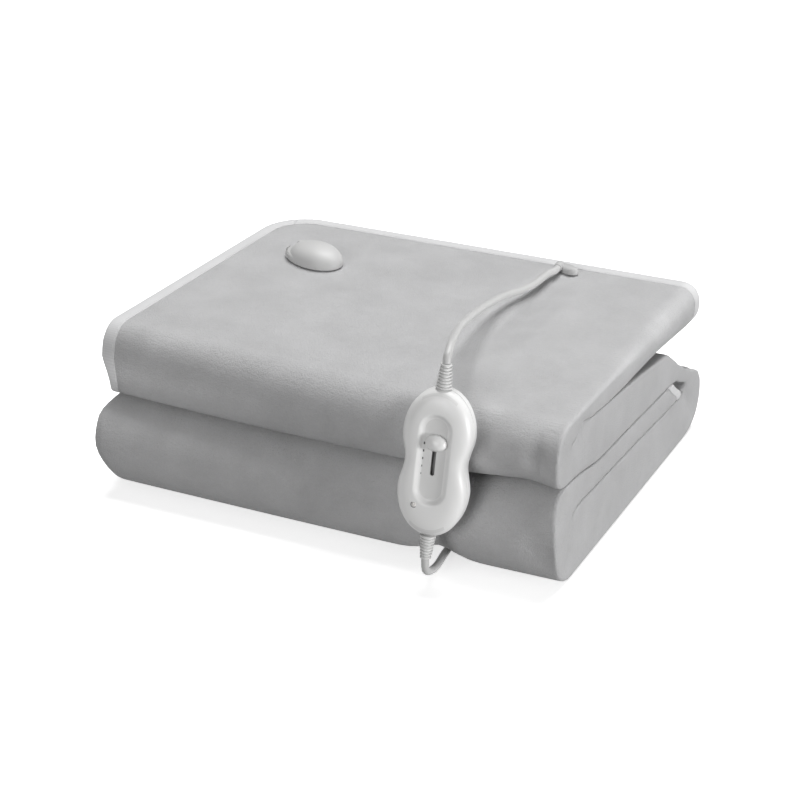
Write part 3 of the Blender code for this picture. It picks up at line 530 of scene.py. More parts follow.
class FoldPath:
    """Straight runs joined by half turns, in one plane. An offset is off the path, to `side`."""

    def __init__(self, start, heading, side, runs):
        self.parts = []
        self.side = side
        self.length = 0.0
        at, ahead = Vector(start), Vector(heading)
        for straight, radius, turn in runs:
            self.parts.append(("run", self.length, straight, at.copy(), ahead.copy(), None, None))
            at = at + ahead * straight
            self.length += straight
            if not turn:
                break
            left = Vector((-ahead.y, ahead.x))
            centre = at + left * (turn * radius)
            half_way = math.pi * radius
            self.parts.append(("turn", self.length, half_way, centre, ahead.copy(), radius, turn))
            at = centre + left * (turn * radius)
            self.length += half_way
            ahead = -ahead

    def at(self, along, offset, squareness):
        part = self.parts[0]
        for candidate in self.parts:
            if along >= candidate[1] - 1e-9:
                part = candidate
        kind, start, length, origin, ahead, radius, turn = part
        left = Vector((-ahead.y, ahead.x))
        if kind == "run":
            return origin + ahead * (along - start) + left * (self.side * offset)
        angle = math.pi * (along - start) / length
        reach = radius - turn * self.side * offset
        out = abs(math.cos(angle)) ** squareness * math.copysign(1.0, math.cos(angle))
        forward = max(0.0, math.sin(angle)) ** squareness
        return origin + (-turn * out * reach) * left + (forward * reach) * ahead


def strip_section():
    outer, inner = 1.5 * PLY_PITCH, 0.5 * PLY_PITCH
    right_centre = PACK_WIDTH - STACK_HALF
    left_centre = LEFT_FOLD_INSET + inner + CLOTH / 2
    return FoldPath(
        (LEFT_INSETS[0], outer), (1, 0), 1,
        [
            (right_centre - LEFT_INSETS[0], outer, -1),
            (right_centre - left_centre, inner, -1),
            (right_centre - left_centre, inner, 1),
            (right_centre - LEFT_INSETS[1], 0, 0),
        ],
    )


def layer_section():
    upper_front = UPPER_ROLL + UPPER_HALF
    lower_front = LOWER_ROLL + LOWER_HALF
    wrap = PACK_DEPTH - BACK_WRAP - STACK_HALF
    return FoldPath(
        (PACK_DEPTH - TAPE, LAYER_Z[1]), (-1, 0), -1,
        [
            (PACK_DEPTH - TAPE - upper_front, UPPER_ROLL, 1),
            (wrap - upper_front, BACK_WRAP, -1),
            (wrap - lower_front, LOWER_ROLL, -1),
            (wrap + INNER_END - lower_front, 0, 0),
        ],
    )


STRIP = strip_section()
LAYERS = layer_section()


def end_squareness(along):
    top_end, front = LAYERS.parts[0][2], LAYERS.parts[1][1]
    return 0.88 - 0.70 * smooth_step(along, 0.25 * top_end, 0.80 * front)


def loft(s):
    start, length = LAYERS.parts[3][1:3]
    return UPPER_LOFT + (LOWER_LOFT - UPPER_LOFT) * smooth_step(s, start, start + length)


def roll_squareness(x, s):
    """Towards the right end, each front roll is flat where it lies against the other roll."""
    facing = 0.0
    for part in (LAYERS.parts[1], LAYERS.parts[5]):
        middle, end = part[1] + part[2] / 2, part[1] + part[2]
        if middle - 0.004 < s < end + 0.004:
            facing = smooth_step(s, middle - 0.004, middle + 0.004)
            facing *= 1 - smooth_step(s, end - 0.002, end + 0.002)
    return 1.0 - ROLL_FLAT * facing * smooth_step(x, *ROLL_FLATTENS)


def round_corner(u, s):
    near_u = min(u, STRIP.length - u)
    near_s = min(s, LAYERS.length - s)
    if near_u >= CORNER_RADIUS or near_s >= CORNER_RADIUS:
        return u, s
    across, down = CORNER_RADIUS - near_u, CORNER_RADIUS - near_s
    shrink = max(across, down) / math.hypot(across, down)
    near_u = CORNER_RADIUS - across * shrink
    near_s = CORNER_RADIUS - down * shrink
    return (
        near_u if u < STRIP.length / 2 else STRIP.length - near_u,
        near_s if s < LAYERS.length / 2 else LAYERS.length - near_s,
    )


def hump(value, middle, half):
    t = min(1.0, abs(value - middle) / half)
    return (1 - t * t) ** 2


def settle(x, y, z):
    """How the soft pack lies, from its even fold in its own corner frame."""
    height = min(1.0, max(0.0, z / PACK_HEIGHT))
    across = min(1.0, max(0.0, x / PACK_WIDTH))
    back = min(1.0, max(0.0, y / PACK_DEPTH))
    climb = FRONT_CLIMB * (1 - y / CLIMB_DEPTH)
    climb -= FRONT_SAG * math.sin(math.pi * across) * (1 - back)
    lift = climb * 4 * height * (1 - height)
    set_back = (1 - across) ** 1.4 * math.exp(-back * SET_BACK_FADE)
    upper = smooth_step(height, *UPPER_STARTS)
    shift_y = set_back * (LOWER_SET_BACK + (UPPER_SET_BACK - LOWER_SET_BACK) * upper)
    rear = smooth_step(back, BACK_STARTS, 1.0)
    even_shift = WRAP_FOOT * hump(height, *FOOT_SPAN) - WRAP_SHOULDER * hump(height, *SHOULDER_SPAN)
    end_shift = float(np.interp(z, *zip(*WRAP_SHIFT)))
    shift_y += rear * (even_shift + (end_shift - even_shift) * smooth_step(x, *WRAP_TURNS))
    lift += smooth_step(x, *FOLDS_RISE) * sum(
        hump(z, middle, half) * np.interp(y, *zip(*rises)) for middle, half, rises in END_RISES
    )
    lift -= GAP_CLOSED * smooth_step(x, *GAPS_CLOSE) * sum(
        (z - gap) * math.exp(-(((z - gap) / GAP_REACH) ** 2)) for gap in GAP_MIDDLES
    )
    end_round = max(0.0, 1 - x / END_REACH) ** 2
    shift_x = END_ROUND * end_round * (hump(height, 0.0, 0.30) + 0.9 * hump(height, 0.62, 0.18))
    shift_x += TOP_SKEW * (1 - across) * back * smooth_step(height, 0.70, 0.85)
    crown = 1 + CROWN * math.sin(math.pi * across) * math.sin(math.pi * back)
    z = (z + lift) * crown
    tunnel = LEAD_TUNNEL * math.exp(-(((x - LEAD_X) / TUNNEL_HALF) ** 2))
    z += tunnel * max(0.0, 1 - z / TUNNEL_REACH)
    return Vector((x + shift_x, y + shift_y, z)) + ORIGIN_SHIFT


def on_cloth(u, s, offset):
    """A point of the folded cloth, by its two measures on the flat cloth and its offset."""
    u, s = round_corner(u, s)
    x, w = STRIP.at(u, offset, end_squareness(s))
    y, z = LAYERS.at(s, w * loft(s), roll_squareness(x, s))
    return settle(x, y, z)


# Soft troughs and ridges: each a line on the cloth's surface, its reach and its push
CREASES = [
    # under the control lead
    ([(0.093, 0.135, 0.134), (0.091, 0.115, 0.134), (0.092, 0.085, 0.134), (0.094, 0.045, 0.134),
      (0.094, 0.0, 0.134), (0.092, -0.040, 0.133)], 0.0100, (0, 0, -0.0056)),
    # beside the controller
    ([(0.074, -0.134, 0.133), (0.074, -0.152, 0.112), (0.072, -0.152, 0.092)],
     0.013, (0.0, 0.0095, -0.001)),
    ([(0.144, -0.134, 0.132), (0.146, -0.149, 0.112), (0.147, -0.149, 0.096)],
     0.012, (0.0, 0.0090, -0.001)),
    # the right front: the upper roll, below the gap, the lower roll
    ([(0.186, -0.140, 0.130), (0.186, -0.152, 0.112), (0.187, -0.150, 0.094)],
     0.008, (0.0, 0.0070, 0.0)),
    ([(0.120, -0.141, 0.0915), (0.145, -0.141, 0.0917), (0.168, -0.142, 0.0922),
      (0.190, -0.144, 0.0930)], 0.0048, (0, 0.0060, -0.0060)),
    ([(0.189, -0.150, 0.052), (0.190, -0.152, 0.035), (0.192, -0.148, 0.018)],
     0.008, (0.0, 0.0050, 0.0)),
    # the right end: the notch at its front and the pleats at its back
    ([(0.200, -0.096, 0.121), (0.200, -0.104, 0.119), (0.200, -0.107, 0.113),
      (0.200, -0.107, 0.104)], 0.0040, (-0.0052, 0, 0)),
    ([(0.199, 0.130, 0.050), (0.200, 0.145, 0.042), (0.199, 0.160, 0.034)],
     0.0045, (-0.0030, 0, 0)),
    ([(0.199, 0.100, 0.044), (0.200, 0.116, 0.036), (0.199, 0.132, 0.028)],
     0.0045, (-0.0024, 0, 0)),
]


def press(points):
    """Moves points by the creases near them."""
    points = np.asarray(points, float)
    moved = points.copy()
    for line, reach, push in CREASES:
        line = np.asarray(line, float)
        nearest = np.full(len(points), 1e9)
        fade = np.ones(len(points))
        total = len(line) - 1
        for k, (a, b) in enumerate(zip(line, line[1:])):
            way = b - a
            t = np.clip(((points - a) @ way) / (way @ way), 0, 1)
            gap = np.linalg.norm(points - (a + t[:, None] * way), axis=1)
            closer = gap < nearest
            nearest = np.where(closer, gap, nearest)
            place = (k + t) / total
            fade = np.where(closer, np.sin(np.pi * (0.08 + 0.84 * place)), fade)
        amount = np.exp(-((nearest / reach) ** 2)) * fade
        moved += amount[:, None] * np.asarray(push, float)
    return moved


# Half the cloth's thickness by the distance in from its edge: pressed under the tape, full past it
EDGE_MARKS = (0.0085, *(TAPE_WIDTH + past for past in (-0.0002, 0.0012, 0.0032, 0.0060)))
EDGE_HALVES = (PINCHED / 2, 0.00238, 0.00256, 0.00287, CLOTH / 2)


def cloth_half(u, s):
    edge = min(u, STRIP.length - u, s, LAYERS.length - s)
    return float(np.interp(edge, EDGE_MARKS, EDGE_HALVES))


def fine_marks(path, run_step, turn_step):
    """Distances along a path, closer on the turns and beside the edges."""
    marks = [0.0, 0.003, *EDGE_MARKS]
    found = marks + [path.length - m for m in marks]
    for kind, start, length, *_ in path.parts:
        count = math.ceil(length / (run_step if kind == "run" else turn_step))
        found += [start + length * k / count for k in range(count + 1)]
    found = sorted(found)
    return [a for a, b in zip(found, found[1:] + [1e9]) if b - a > 5e-4]


U_MARKS = fine_marks(STRIP, 0.0085, 0.0024)
S_MARKS = fine_marks(LAYERS, 0.0075, 0.0034)


def sheet_object(name, points, faces, material, flat_places=None):
    """A pressed mesh of the cloth's points, with the flat cloth's own places as its UV map."""
    mesh = bpy.data.meshes.new(name)
    mesh.from_pydata([tuple(p) for p in press(points)], [], faces)
    form = bmesh.new()
    form.from_mesh(mesh)
    bmesh.ops.recalc_face_normals(form, faces=form.faces)
    if form.calc_volume(signed=True) < 0:
        bmesh.ops.reverse_faces(form, faces=form.faces)
    form.to_mesh(mesh)
    form.free()
    if flat_places is not None:
        layer = mesh.uv_layers.new(name="flat_cloth")
        corner_points = np.empty(len(mesh.loops), np.int32)
        mesh.loops.foreach_get("vertex_index", corner_points)
        layer.data.foreach_set("uv", np.asarray(flat_places, np.float32)[corner_points].ravel())
    mesh.shade_smooth()
    mesh.materials.append(material)
    made = add_object(mesh)
    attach(made, "pack")
    return made


def fold_blanket():
    grid = [(u, s) for u in U_MARKS for s in S_MARKS]
    points = [on_cloth(u, s, side * cloth_half(u, s)) for side in (1, -1) for u, s in grid]

    def corner(side, i, j):
        return i * len(S_MARKS) + j + (0 if side > 0 else len(grid))

    last_i, last_j = len(U_MARKS) - 1, len(S_MARKS) - 1
    faces = []
    for i in range(last_i):
        for j in range(last_j):
            square = (i, j), (i + 1, j), (i + 1, j + 1), (i, j + 1)
            faces += [[corner(side, *place) for place in square] for side in (1, -1)]
    rim = [(i, 0) for i in range(last_i)] + [(last_i, j) for j in range(last_j)]
    rim += [(i, last_j) for i in range(last_i, 0, -1)] + [(0, j) for j in range(last_j, 0, -1)]
    for here, there in zip(rim, rim[1:] + rim[:1]):
        upper, lower = ([corner(side, *place) for place in (here, there)] for side in (1, -1))
        faces.append(upper + lower[::-1])
    return sheet_object("folded_cloth", points, faces, FLEECE, grid * 2)


def tape_section():
    """Round the tape's section: distance in from the cloth's edge, and offset off its middle."""
    inner = PINCHED / 2 + TAPE_SEAT
    outer = inner + TAPE
    half = [
        (TAPE_WIDTH, outer - 0.00065), (TAPE_WIDTH - 0.0004, outer - 0.00035),
        (TAPE_WIDTH - 0.0010, outer - 0.0002), (TAPE_WIDTH - STITCH_INSET, outer - 0.0003),
        (TAPE_WIDTH - 0.0030, outer), (0.0035, outer + 0.0001), (0.0008, outer),
    ]
    for k in range(1, 4):
        angle = math.pi / 2 * k / 4
        half.append((0.0008 - 0.0022 * math.sin(angle), outer * math.cos(angle) ** 0.7))
    tip = [(-TAPE_SEAT - TAPE, 0.0)]
    outside = half + tip + [(d, -o) for d, o in reversed(half)]
    lining = [(TAPE_WIDTH, -inner), (0.0, -inner), (-TAPE_SEAT, -inner * 0.6)]
    return outside, lining + [(d, -o) for d, o in reversed(lining)]


def tube_faces(first, rings, size):
    """The faces of a tube from its first point on: its sides and its two ends."""
    faces = [[first + c for c in range(size)]]
    for k in range(rings - 1):
        a, b = first + k * size, first + (k + 1) * size
        for c in range(size):
            d = (c + 1) % size
            faces.append([a + c, a + d, b + d, b + c])
    return faces + [[b + c for c in reversed(range(size))]]


def bind_edge(name, node, place, marks):
    """A folded tape along one edge, puckered by its stitches."""
    outside, inside = tape_section()
    ring = outside + inside
    points, places = [], []
    for mark in marks:
        pucker = sum(rise * math.sin(mark * 2 * math.pi / length) for rise, length in PUCKERS)
        for k, (inward, offset) in enumerate(ring):
            if k < len(outside):
                offset += math.copysign(pucker, offset) if abs(offset) > 1e-6 else 0.0
            points.append(place(inward, mark, offset))
            places.append((mark, k * 0.002))
    faces = tube_faces(0, len(marks), len(ring))
    tape = sheet_object(name, points, faces, TAPE_FINISH, places)
    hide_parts(node)
    return tape


def sew_edge(name, place, length, clear):
    """A row of stitches along both faces of a tape."""
    inward = TAPE_WIDTH - STITCH_INSET
    outer = PINCHED / 2 + TAPE_SEAT + TAPE - 0.00025
    points, faces = [], []
    for k in range(int((length - 2 * clear) / STITCH_PITCH)):
        middle = clear + (k + 0.5) * STITCH_PITCH
        for face in (1, -1):
            start = place(inward, middle - STITCH_LENGTH / 2, face * outer)
            end = place(inward, middle + STITCH_LENGTH / 2, face * outer)
            lifted = place(inward, middle, face * (outer + 0.001))
            out = (lifted - (start + end) / 2).normalized()
            across = (end - start).cross(out).normalized()
            first = len(points)
            for part, swell in STITCH_SWELL:
                at = start.lerp(end, part) + out * (THREAD * 0.30 * swell)
                for c in range(THREAD_SIDES):
                    angle = 2 * math.pi * c / THREAD_SIDES
                    spoke = across * math.cos(angle) + out * math.sin(angle)
                    points.append(at + spoke * (THREAD / 2 * swell))
            faces += tube_faces(first, len(STITCH_SWELL), THREAD_SIDES)
    return sheet_object(name, points, faces, THREAD_FINISH)


def bind_and_sew():
    """The four edges: name, path, clear distance at each end, and places on the edge."""
    width, length = STRIP.length, LAYERS.length
    corner = TAPE_WIDTH + 0.0004
    pieces = []
    for edge, path, clear, place in (
        ("outer_end", LAYERS, 0.0, on_cloth),
        ("inner_end", LAYERS, 0.0, lambda d, s, o: on_cloth(width - d, s, o)),
        ("top_edge", STRIP, corner, lambda d, u, o: on_cloth(u, d, o)),
        ("tucked_edge", STRIP, corner, lambda d, u, o: on_cloth(u, length - d, o)),
    ):
        end = path.length - clear
        marks = [m for m in fine_marks(path, 0.004, 0.002) if clear + 0.001 < m < end - 0.001]
        pieces.append(bind_edge(f"tape_{edge}", f"binding_{edge}", place, [clear, *marks, end]))
        pieces.append(sew_edge(f"stitches_{edge}", place, path.length, clear + 0.002))
    return pieces


blanket = fold_blanket()
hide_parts("blanket")
edging = bind_and_sew()

# ---- bench work with the edit tools


def take_up(piece=None):
    """Leaves only this piece selected, in object mode."""
    if bpy.context.mode != "OBJECT":
        bpy.ops.object.mode_set(mode="OBJECT")
    bpy.ops.object.select_all(action="DESELECT")
    if piece:
        bpy.context.view_layer.objects.active = piece
        piece.select_set(True)


def edit_whole():
    bpy.ops.object.mode_set(mode="EDIT")
    bpy.ops.mesh.select_all(action="SELECT")


def close_up():
    """Ends the editing of a closed piece, with its faces outward."""
    bpy.ops.mesh.select_all(action="SELECT")
    bpy.ops.mesh.normals_make_consistent(inside=False)
    bpy.ops.object.mode_set(mode="OBJECT")


def flat_disc(name, sides, radius=1.0):
    """A flat round face to build a piece up from."""
    take_up()
    bpy.ops.mesh.primitive_circle_add(
        vertices=sides, radius=radius, fill_type="NGON", location=(0, 0, 0)
    )
    made = bpy.context.object
    made.name = made.data.name = name
    return made


def shape_rim(piece, rim):
    """Sets each rim point of a flat disc by its angle."""
    for vertex in piece.data.vertices:
        vertex.co = rim(math.atan2(vertex.co.y, vertex.co.x))


def build_up(piece, steps):
    """Raises the disc step by step: each step draws the face in and lifts it."""
    take_up(piece)
    edit_whole()
    bpy.ops.mesh.normals_make_consistent(inside=False)
    for inset, lift in steps:
        if inset:
            bpy.ops.mesh.inset(thickness=inset, depth=lift, use_even_offset=True)
        else:
            bpy.ops.mesh.extrude_region_move(TRANSFORM_OT_translate={"value": (0, 0, lift)})
    close_up()


def raise_rings(name, sides, rings, material):
    """Raises a disc ring by ring, then sets each ring by its rim and its height."""
    piece = flat_disc(name, sides)
    build_up(piece, [(0.0, 1.0)] * (len(rings) - 1))
    for vertex in piece.data.vertices:
        rim, height = rings[round(vertex.co.z)]
        vertex.co = (*rim(math.atan2(vertex.co.y, vertex.co.x)).xy, height)
    piece.data.materials.append(material)
    return piece


def extrude_through(sections):
    """From the flat face in hand, through sections of distance along, half width and height."""
    edit_whole()
    for (z0, w0, h0), (z1, w1, h1) in zip(sections, sections[1:]):
        bpy.ops.mesh.extrude_region_move(TRANSFORM_OT_translate={"value": (0, 0, z1 - z0)})
        bpy.ops.transform.resize(value=(w1 / w0, h1 / h0, 1), center_override=(0, 0, z1))
    close_up()


def turn_up(name, profile, sides, material):
    """A round piece along its own Z from pairs of radius and distance along."""
    piece = flat_disc(name, sides, profile[0][0])
    extrude_through([(along, radius, radius) for radius, along in profile])
    piece.data.materials.append(material)
    return piece


def soften(piece, width, segments, angle):
    take_up(piece)
    bevel = piece.modifiers.new("bevel", "BEVEL")
    bevel.width, bevel.segments = width, segments
    bevel.limit_method = "ANGLE"
    bevel.angle_limit = math.radians(angle)
    bpy.ops.object.modifier_apply(modifier=bevel.name)


def fit(piece, matrix, node=None, smooth=35, body="pack"):
    """Sets a finished piece in place, smooths its faces and lets it ride on its body."""
    take_up(piece)
    piece.matrix_world = matrix
    bpy.ops.object.transform_apply(location=True, rotation=True, scale=True)
    bpy.ops.object.shade_smooth_by_angle(angle=math.radians(smooth))
    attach(piece, body)
    if node:
        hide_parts(node)
    return piece


# ---- rims, by angle


def lobed_rim(angle):
    """The controller's outline: two lobes and a waist."""
    y = CONTROLLER_LENGTH / 2 * math.sin(angle)
    past = abs(y) - LOBE_OFFSET
    if past > 0:
        end = CONTROLLER_LENGTH / 2 - LOBE_OFFSET
        half = LOBE_HALF * math.sqrt(max(0.0, 1 - (past / end) ** 2))
    else:
        waist = 0.5 + 0.5 * math.cos(math.pi * y / LOBE_OFFSET)
        half = LOBE_HALF - (LOBE_HALF - WAIST_HALF) * waist
    return Vector((math.copysign(half, math.cos(angle)), y, 0))


def slot_rim(half, length, centre):
    """A slot along Y, its points spread along its length."""
    def rim(angle):
        y = length / 2 * math.sin(angle)
        past = max(0.0, abs(y) - (length / 2 - half))
        x = math.copysign(math.sqrt(max(0.0, half**2 - past**2)), math.cos(angle))
        return Vector((x, centre + y, 0))
    return rim


def oval_rim(half_long, half_wide, lean=0.0, power=1.0):
    """An oval, or with a power under 1 a rounded oblong."""
    def rim(angle):
        x, y = (math.copysign(abs(c) ** power, c) for c in (math.cos(angle), math.sin(angle)))
        return Vector((half_long * x + lean, half_wide * y, 0))
    return rim


def between(outer, inner, share):
    return lambda angle: outer(angle).lerp(inner(angle), share)


def smaller(rim, share, centre=(0, 0, 0)):
    """The same rim, drawn in towards a centre."""
    return lambda angle: Vector(centre).lerp(rim(angle), share)


def domed(rim, steps, centre=(0, 0, 0), low=0.0):
    """Rings of one rim, by its share and the height of each."""
    return [(smaller(rim, share, centre), low + height) for share, height in steps]


def drawn_in(inset):
    """The controller's rim, drawn in by a distance."""
    return smaller(lobed_rim, 1 - inset / LOBE_HALF)


def recess_rim(inset):
    return slot_rim(RECESS_HALF - inset, RECESS_LENGTH - 2 * inset, RECESS_CENTRE)


# ---- controller


def make_back_shell():
    rings = []
    for k in range(7):
        angle = math.pi / 2 * k / 6
        inset = UNDER_RADIUS * (1 - math.sin(angle))
        rings.append((drawn_in(inset), UNDER_RADIUS * (1 - math.cos(angle))))
    rings += [(lobed_rim, SHELL_SPLIT - SHELL_EDGE), (drawn_in(SHELL_EDGE), SHELL_SPLIT)]
    back = raise_rings("controller_back_shell", SHELL_SIDES, rings, WHITE_SHELL)
    fit(back, controller_frame, "controller_back")


def make_front_shell():
    low = SHELL_SPLIT + SEAT
    rings = [(drawn_in(SHELL_EDGE), low), (lobed_rim, low + SHELL_EDGE), (lobed_rim, low + 0.0028)]
    for share, height in FACE_RISE:
        rim = between(lobed_rim, recess_rim(0.0), share)
        rings.append((rim, low + height * (CONTROLLER_THICK - low)))
    rings += [(recess_rim(inset), CONTROLLER_THICK - depth) for inset, depth in RECESS_WALL]
    slot_top, slot_end = SLIDER_AT + SLOT_ABOVE, SLIDER_AT - SLIDER_TRAVEL - SLOT_BELOW
    slot = slot_rim(SLOT_HALF, slot_top - slot_end, (slot_top + slot_end) / 2)
    rings += [(slot, RECESS_FLOOR - depth) for depth in (0.0, 0.0004, 0.0040)]
    front = raise_rings("controller_front_shell", SHELL_SIDES, rings, WHITE_SHELL)
    front.data.materials.append(RECESS_WHITE)
    front.data.materials.append(SLOT_DARK)
    # Faces down inside the slot take the dark grey of painted shade; the recess floor takes its own
    # finish.
    for face in front.data.polygons:
        x, y, z = face.center
        if z < RECESS_FLOOR - 0.0001 and abs(x) <= SLOT_HALF and slot_end <= y <= slot_top:
            face.material_index = 2
        elif abs(z - RECESS_FLOOR) < 0.0001 and abs(x) < RECESS_HALF:
            face.material_index = 1
    fit(front, controller_frame, "controller_front", 42)


def make_slider():
    """The thumb button: a soft dome that swells to its lower right, with its stem in the slot."""
    def rim(angle):
        deep = 0.0070 if math.sin(angle) > 0 else 0.0058
        half = 0.0092 if math.cos(angle) > 0 else 0.0072
        return Vector((half * math.cos(angle), SLIDER_AT + deep * math.sin(angle), 0))

    swell = (0.0022, SLIDER_AT - 0.0010, 0)
    rings = domed(rim, (
        (0.97, 0.0), (1.0, 0.0003), (0.99, 0.0013), (0.94, 0.0024), (0.85, 0.0034),
        (0.72, 0.0043), (0.56, 0.0050), (0.38, 0.0055), (0.20, 0.0058), (0.05, 0.0059),
    ), swell, RECESS_FLOOR + SEAT)
    button = raise_rings("thumb_slider", 48, rings, WHITE_BUTTON)
    fit(button, controller_frame, "controller_slider", 60, body="slider")
    foot = slot_rim(0.0008, 0.0058, SLIDER_AT)
    rings = [(foot, RECESS_FLOOR - 0.0033), (foot, RECESS_FLOOR + 0.0004)]
    stem = raise_rings("slider_stem", 24, rings, WHITE_BUTTON)
    fit(stem, controller_frame, body="slider")


def make_lamp_and_marks():
    lamp_frame = controller_frame @ Matrix.Translation(LAMP_AT)
    profile = [(0.0026, 0.0), (0.0026, 0.0007), (0.0024, 0.0009), (0.0017, 0.0009)]
    ring = turn_up("lamp_ring", profile, 40, SLOT_DARK)
    fit(ring, lamp_frame, smooth=60)
    profile = [
        (0.0019, 0.0), (0.0019, 0.0010), (0.0016, 0.0014), (0.0010, 0.0016), (0.0003, 0.0017)
    ]
    lens = turn_up("lamp_lens_cap", profile, 32, LENS)
    fit(lens, lamp_frame, "controller_lamp", 60)
    for number in range(HEAT_MARKS):
        mark = flat_disc(f"heat_mark_{number + 1}", 4, 0.00135 - 0.00012 * number)
        build_up(mark, [(0.0, 0.00012)])
        mark.data.materials.append(INK)
        y = SLIDER_AT - 0.0012 - number * MARK_PITCH
        place = Matrix.Translation((-0.0083 - 0.0001 * number, y, RECESS_FLOOR + 0.00005))
        slanted = place @ Matrix.Rotation(math.radians(45), 4, "Z")
        fit(mark, controller_frame @ slanted)


def sleeve_rings():
    """The sleeve's profile: a collar, then ribs that get smaller."""
    collar = 0.0012
    profile = [(SLEEVE_BASE + 0.0004, 0.0), (SLEEVE_BASE + 0.0004, collar)]
    pitch = (SLEEVE_LENGTH - collar) / SLEEVE_RIBS
    for k in range(SLEEVE_RIBS):
        radius = SLEEVE_BASE + (SLEEVE_TIP - SLEEVE_BASE) * k / (SLEEVE_RIBS - 1)
        start = collar + k * pitch
        neck = radius - 0.0014
        profile += [
            (neck, start + 0.0001), (neck, start + 0.40 * pitch),
            (radius, start + 0.48 * pitch), (radius, start + 0.92 * pitch),
        ]
    profile[-1] = (SLEEVE_TIP, SLEEVE_LENGTH)
    return profile


def make_sleeves():
    for side, where, node in ((1, "upper", "top"), (-1, "lower", "bottom")):
        sleeve = turn_up(f"{where}_sleeve", sleeve_rings(), 32, SOFT_SLEEVE)
        soften(sleeve, 0.0002, 2, 30)
        at = Matrix.Translation((0, side * (CONTROLLER_LENGTH / 2 + SEAT), SLEEVE_MIDDLE))
        placed = controller_frame @ at @ Matrix.Rotation(-side * math.pi / 2, 4, "X")
        fit(sleeve, placed, f"controller_{node}_sleeve")


make_back_shell()
make_front_shell()
make_slider()
make_lamp_and_marks()
make_sleeves()

# ---- connector and collar on the cloth


def make_connector():
    """A soft oval housing: its base shows with ribs only at the left, under the cover elsewhere."""
    rings = domed(oval_rim(*CONNECTOR_HALVES), (
        (0.97, 0.0), (1.0, 0.0010), (1.0, 0.0030), (0.975, 0.0048), (0.93, 0.0058),
    ))
    base = raise_rings("connector_shell", 72, rings, CONNECTOR_WHITE)
    fit(base, connector_frame, "connector_base", 50)
    rings = domed(oval_rim(0.0272, 0.0186, 0.0030), (
        (1.01, 0.0006), (1.02, 0.0020), (1.01, 0.0042), (0.98, 0.0064), (0.93, 0.0084),
        (0.86, 0.0102), (0.76, 0.0119), (0.63, 0.0133), (0.48, 0.0144), (0.31, 0.0152),
        (0.15, 0.0156), (0.04, 0.0157),
    ), (0.0030, 0, 0))
    cover = raise_rings("connector_cap", 72, rings, CONNECTOR_WHITE)
    fit(cover, connector_frame, "connector_cover", 60)
    half_long, half_wide = CONNECTOR_HALVES
    rings = domed(slot_rim(0.0005, 0.0044, 0.0), ((1.0, 0.0), (1.0, 0.0008), (0.7, 0.0012)))
    for number in range(9):
        angle = math.radians(188 + 8 * number)
        c, s = math.cos(angle), math.sin(angle)
        rib = raise_rings(f"grip_rib_{number + 1}", 16, rings, CONNECTOR_WHITE)
        outward = Vector((c / half_long, s / half_wide, 0)).normalized()
        turn = outward.to_track_quat("Z", "Y").to_matrix().to_4x4()
        at = Matrix.Translation((c * (half_long - 0.0002), s * (half_wide - 0.0002), 0.0030))
        fit(rib, connector_frame @ at @ turn)
    rings = domed(oval_rim(0.0048, 0.0034), (
        (1.0, 0.0), (1.0, 0.0034), (0.93, 0.0046), (0.75, 0.0054), (0.45, 0.0059), (0.1, 0.0060),
    ))
    latch = raise_rings("release_button", 32, rings, CONNECTOR_WHITE)
    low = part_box("connector_latch")[0][2]
    fit(latch, Matrix.Translation((*LATCH_AT, low)) @ CLOTH_TURN, "connector_latch", 50)


def make_collar():
    collar = flat_disc("lead_collar", 48)
    shape_rim(collar, oval_rim(0.0105, 0.0056))
    build_up(collar, [(0.0, 0.0028), (0.0006, 0.0012), (0.0010, 0.0009), (0.0010, 0.0004)])
    collar.data.materials.append(COLLAR_GREY)
    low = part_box("lead_gland")[0][2]
    place = Matrix.Translation((*COLLAR_AT, low)) @ CLOTH_TURN
    fit(collar, place, "lead_gland", 50)
    profile = [
        (0.0036, 0.0), (0.0038, 0.0006), (0.0036, 0.0014), (0.0036, 0.0040), (0.0038, 0.0046),
        (0.0036, 0.0052), (0.0036, 0.0074), (0.0033, 0.0080),
    ]
    nozzle = turn_up("lead_nozzle", profile, 32, COLLAR_GREY)
    way = NOZZLE_WAY.to_track_quat("Z", "Y").to_matrix().to_4x4()
    start = Matrix.Translation(NOZZLE_MOUTH - NOZZLE_WAY * (0.0080 + SEAT))
    fit(nozzle, start @ way)


make_connector()
make_collar()

# ---- tie and plug


def make_tie():
    """A flat band round the coil's turns, at its left side."""
    take_up()
    low, high = (Vector(corner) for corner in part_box("coil_tie"))
    bpy.ops.mesh.primitive_cube_add(size=1, location=(0, 0, 0))
    band = bpy.context.object
    band.name = band.data.name = "coil_tie_band"
    for vertex in band.data.vertices:
        vertex.co = [share * size for share, size in zip(vertex.co, high - low)]
    bpy.ops.object.mode_set(mode="EDIT")
    form = bmesh.from_edit_mesh(band.data)
    for face in form.faces:
        face.select_set(abs(face.normal.y) > 0.9)
    bmesh.update_edit_mesh(band.data)
    bpy.ops.mesh.inset(thickness=0.0010, depth=0)
    bpy.ops.mesh.bridge_edge_loops()
    bpy.ops.object.mode_set(mode="OBJECT")
    band.data.materials.append(TIE_FINISH)
    soften(band, 0.0004, 3, 60)
    middle = Matrix.Translation((low + high) / 2)
    return fit(band, middle, "coil_tie")


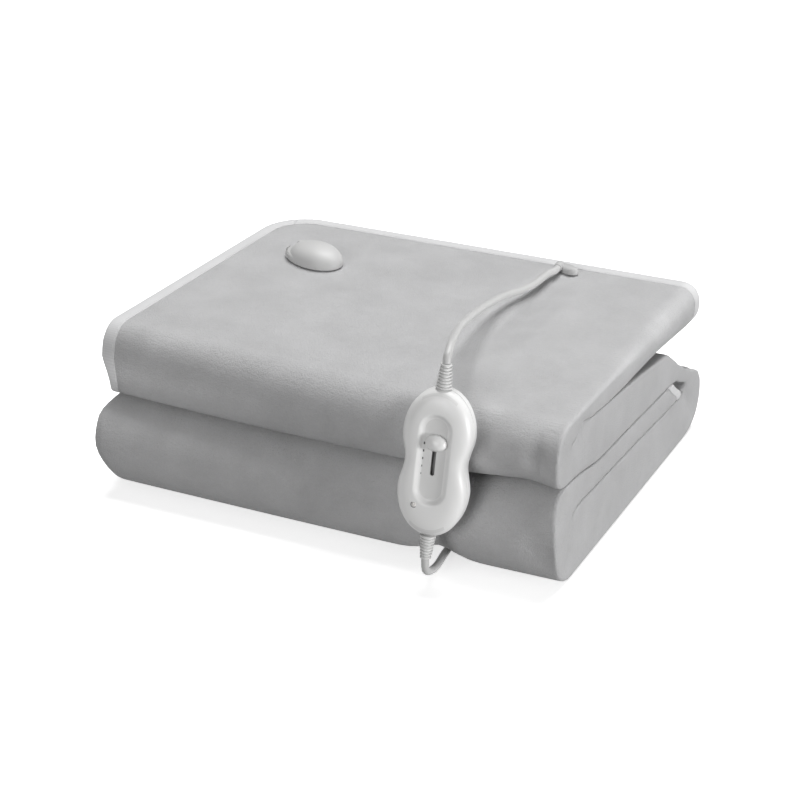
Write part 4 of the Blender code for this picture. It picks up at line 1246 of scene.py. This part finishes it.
def make_plug():
    """A flat two-pin plug."""
    lie_down = Matrix.Rotation(-math.pi / 2, 4, "Y")
    body = flat_disc("plug_shell", 56)
    shape_rim(body, oval_rim(*PLUG_SECTIONS[0][1:], power=0.6))
    extrude_through(PLUG_SECTIONS)
    body.data.materials.append(WHITE_SHELL)
    place = Matrix.Translation(PLUG_AT) @ lie_down @ Matrix.Rotation(math.pi / 2, 4, "Z")
    pieces = [fit(body, place, "plug_body", 40)]
    for where in ("left", "right"):
        low, high = (Vector(corner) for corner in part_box(f"plug_pin_{where}"))
        profile = [(0.0020, 0.0), (0.0020, 0.0170), (0.0017, 0.0182), (0.0010, 0.0190)]
        pin = turn_up(f"{where}_pin", profile, 24, METAL)
        root = Matrix.Translation((high.x, (low.y + high.y) / 2, (low.z + high.z) / 2))
        pieces.append(fit(pin, root @ lie_down, f"plug_pin_{where}", 40))
    return pieces


declare_cord(
    mains_lead, ["mains_lead", "mains_coil", "mains_tail"], mains_points, 2,
    far_end="plug", lay="coiled", with_pieces=[make_tie(), *make_plug()],
)

# ---- studio


def soft_light(name, at, toward, size, power):
    data = bpy.data.lights.new(name, "AREA")
    data.shape = "RECTANGLE"
    data.size, data.size_y = size
    data.energy = power
    light = add_object(data)
    light.location = at
    light.rotation_euler = (Vector(at) - Vector(toward)).to_track_quat("Z", "Y").to_euler()


def lay_floor():
    """A white floor that doesn't light the cloth from below."""
    take_up()
    bpy.ops.mesh.primitive_plane_add(size=60, location=(0, 0, 0))
    floor = bpy.context.object
    floor.name = floor.data.name = "studio_floor"
    finish = Finish(
        "studio_white", (0.92, 0.92, 0.92), 0.9,
        Specular_IOR_Level=0.1, Emission_Color=(1, 1, 1, 1), Emission_Strength=0.60,
    )
    floor.data.materials.append(finish.material)
    floor.location.z = -0.0002
    floor.visible_diffuse = False


def light_studio():
    world = bpy.data.worlds.new("studio_air")
    world.use_nodes = True
    air = world.node_tree.nodes["Background"].inputs
    air["Color"].default_value = (1, 1, 1, 1)
    air["Strength"].default_value = 0.14
    bpy.context.scene.world = world
    soft_light("key_softbox", (-0.10, 1.0, 2.8), (0, 0, 0.05), (1.8, 1.8), 92)
    soft_light("side_softbox", (2.9, -0.3, 0.24), (0, 0, 0.08), (1.3, 0.4), 66)
    soft_light("front_softbox", (-0.1, -2.7, 1.0), (0, 0, 0.08), (1.1, 1.1), 29)
    bpy.context.scene.view_settings.view_transform = "Standard"


lay_floor()
light_studio()
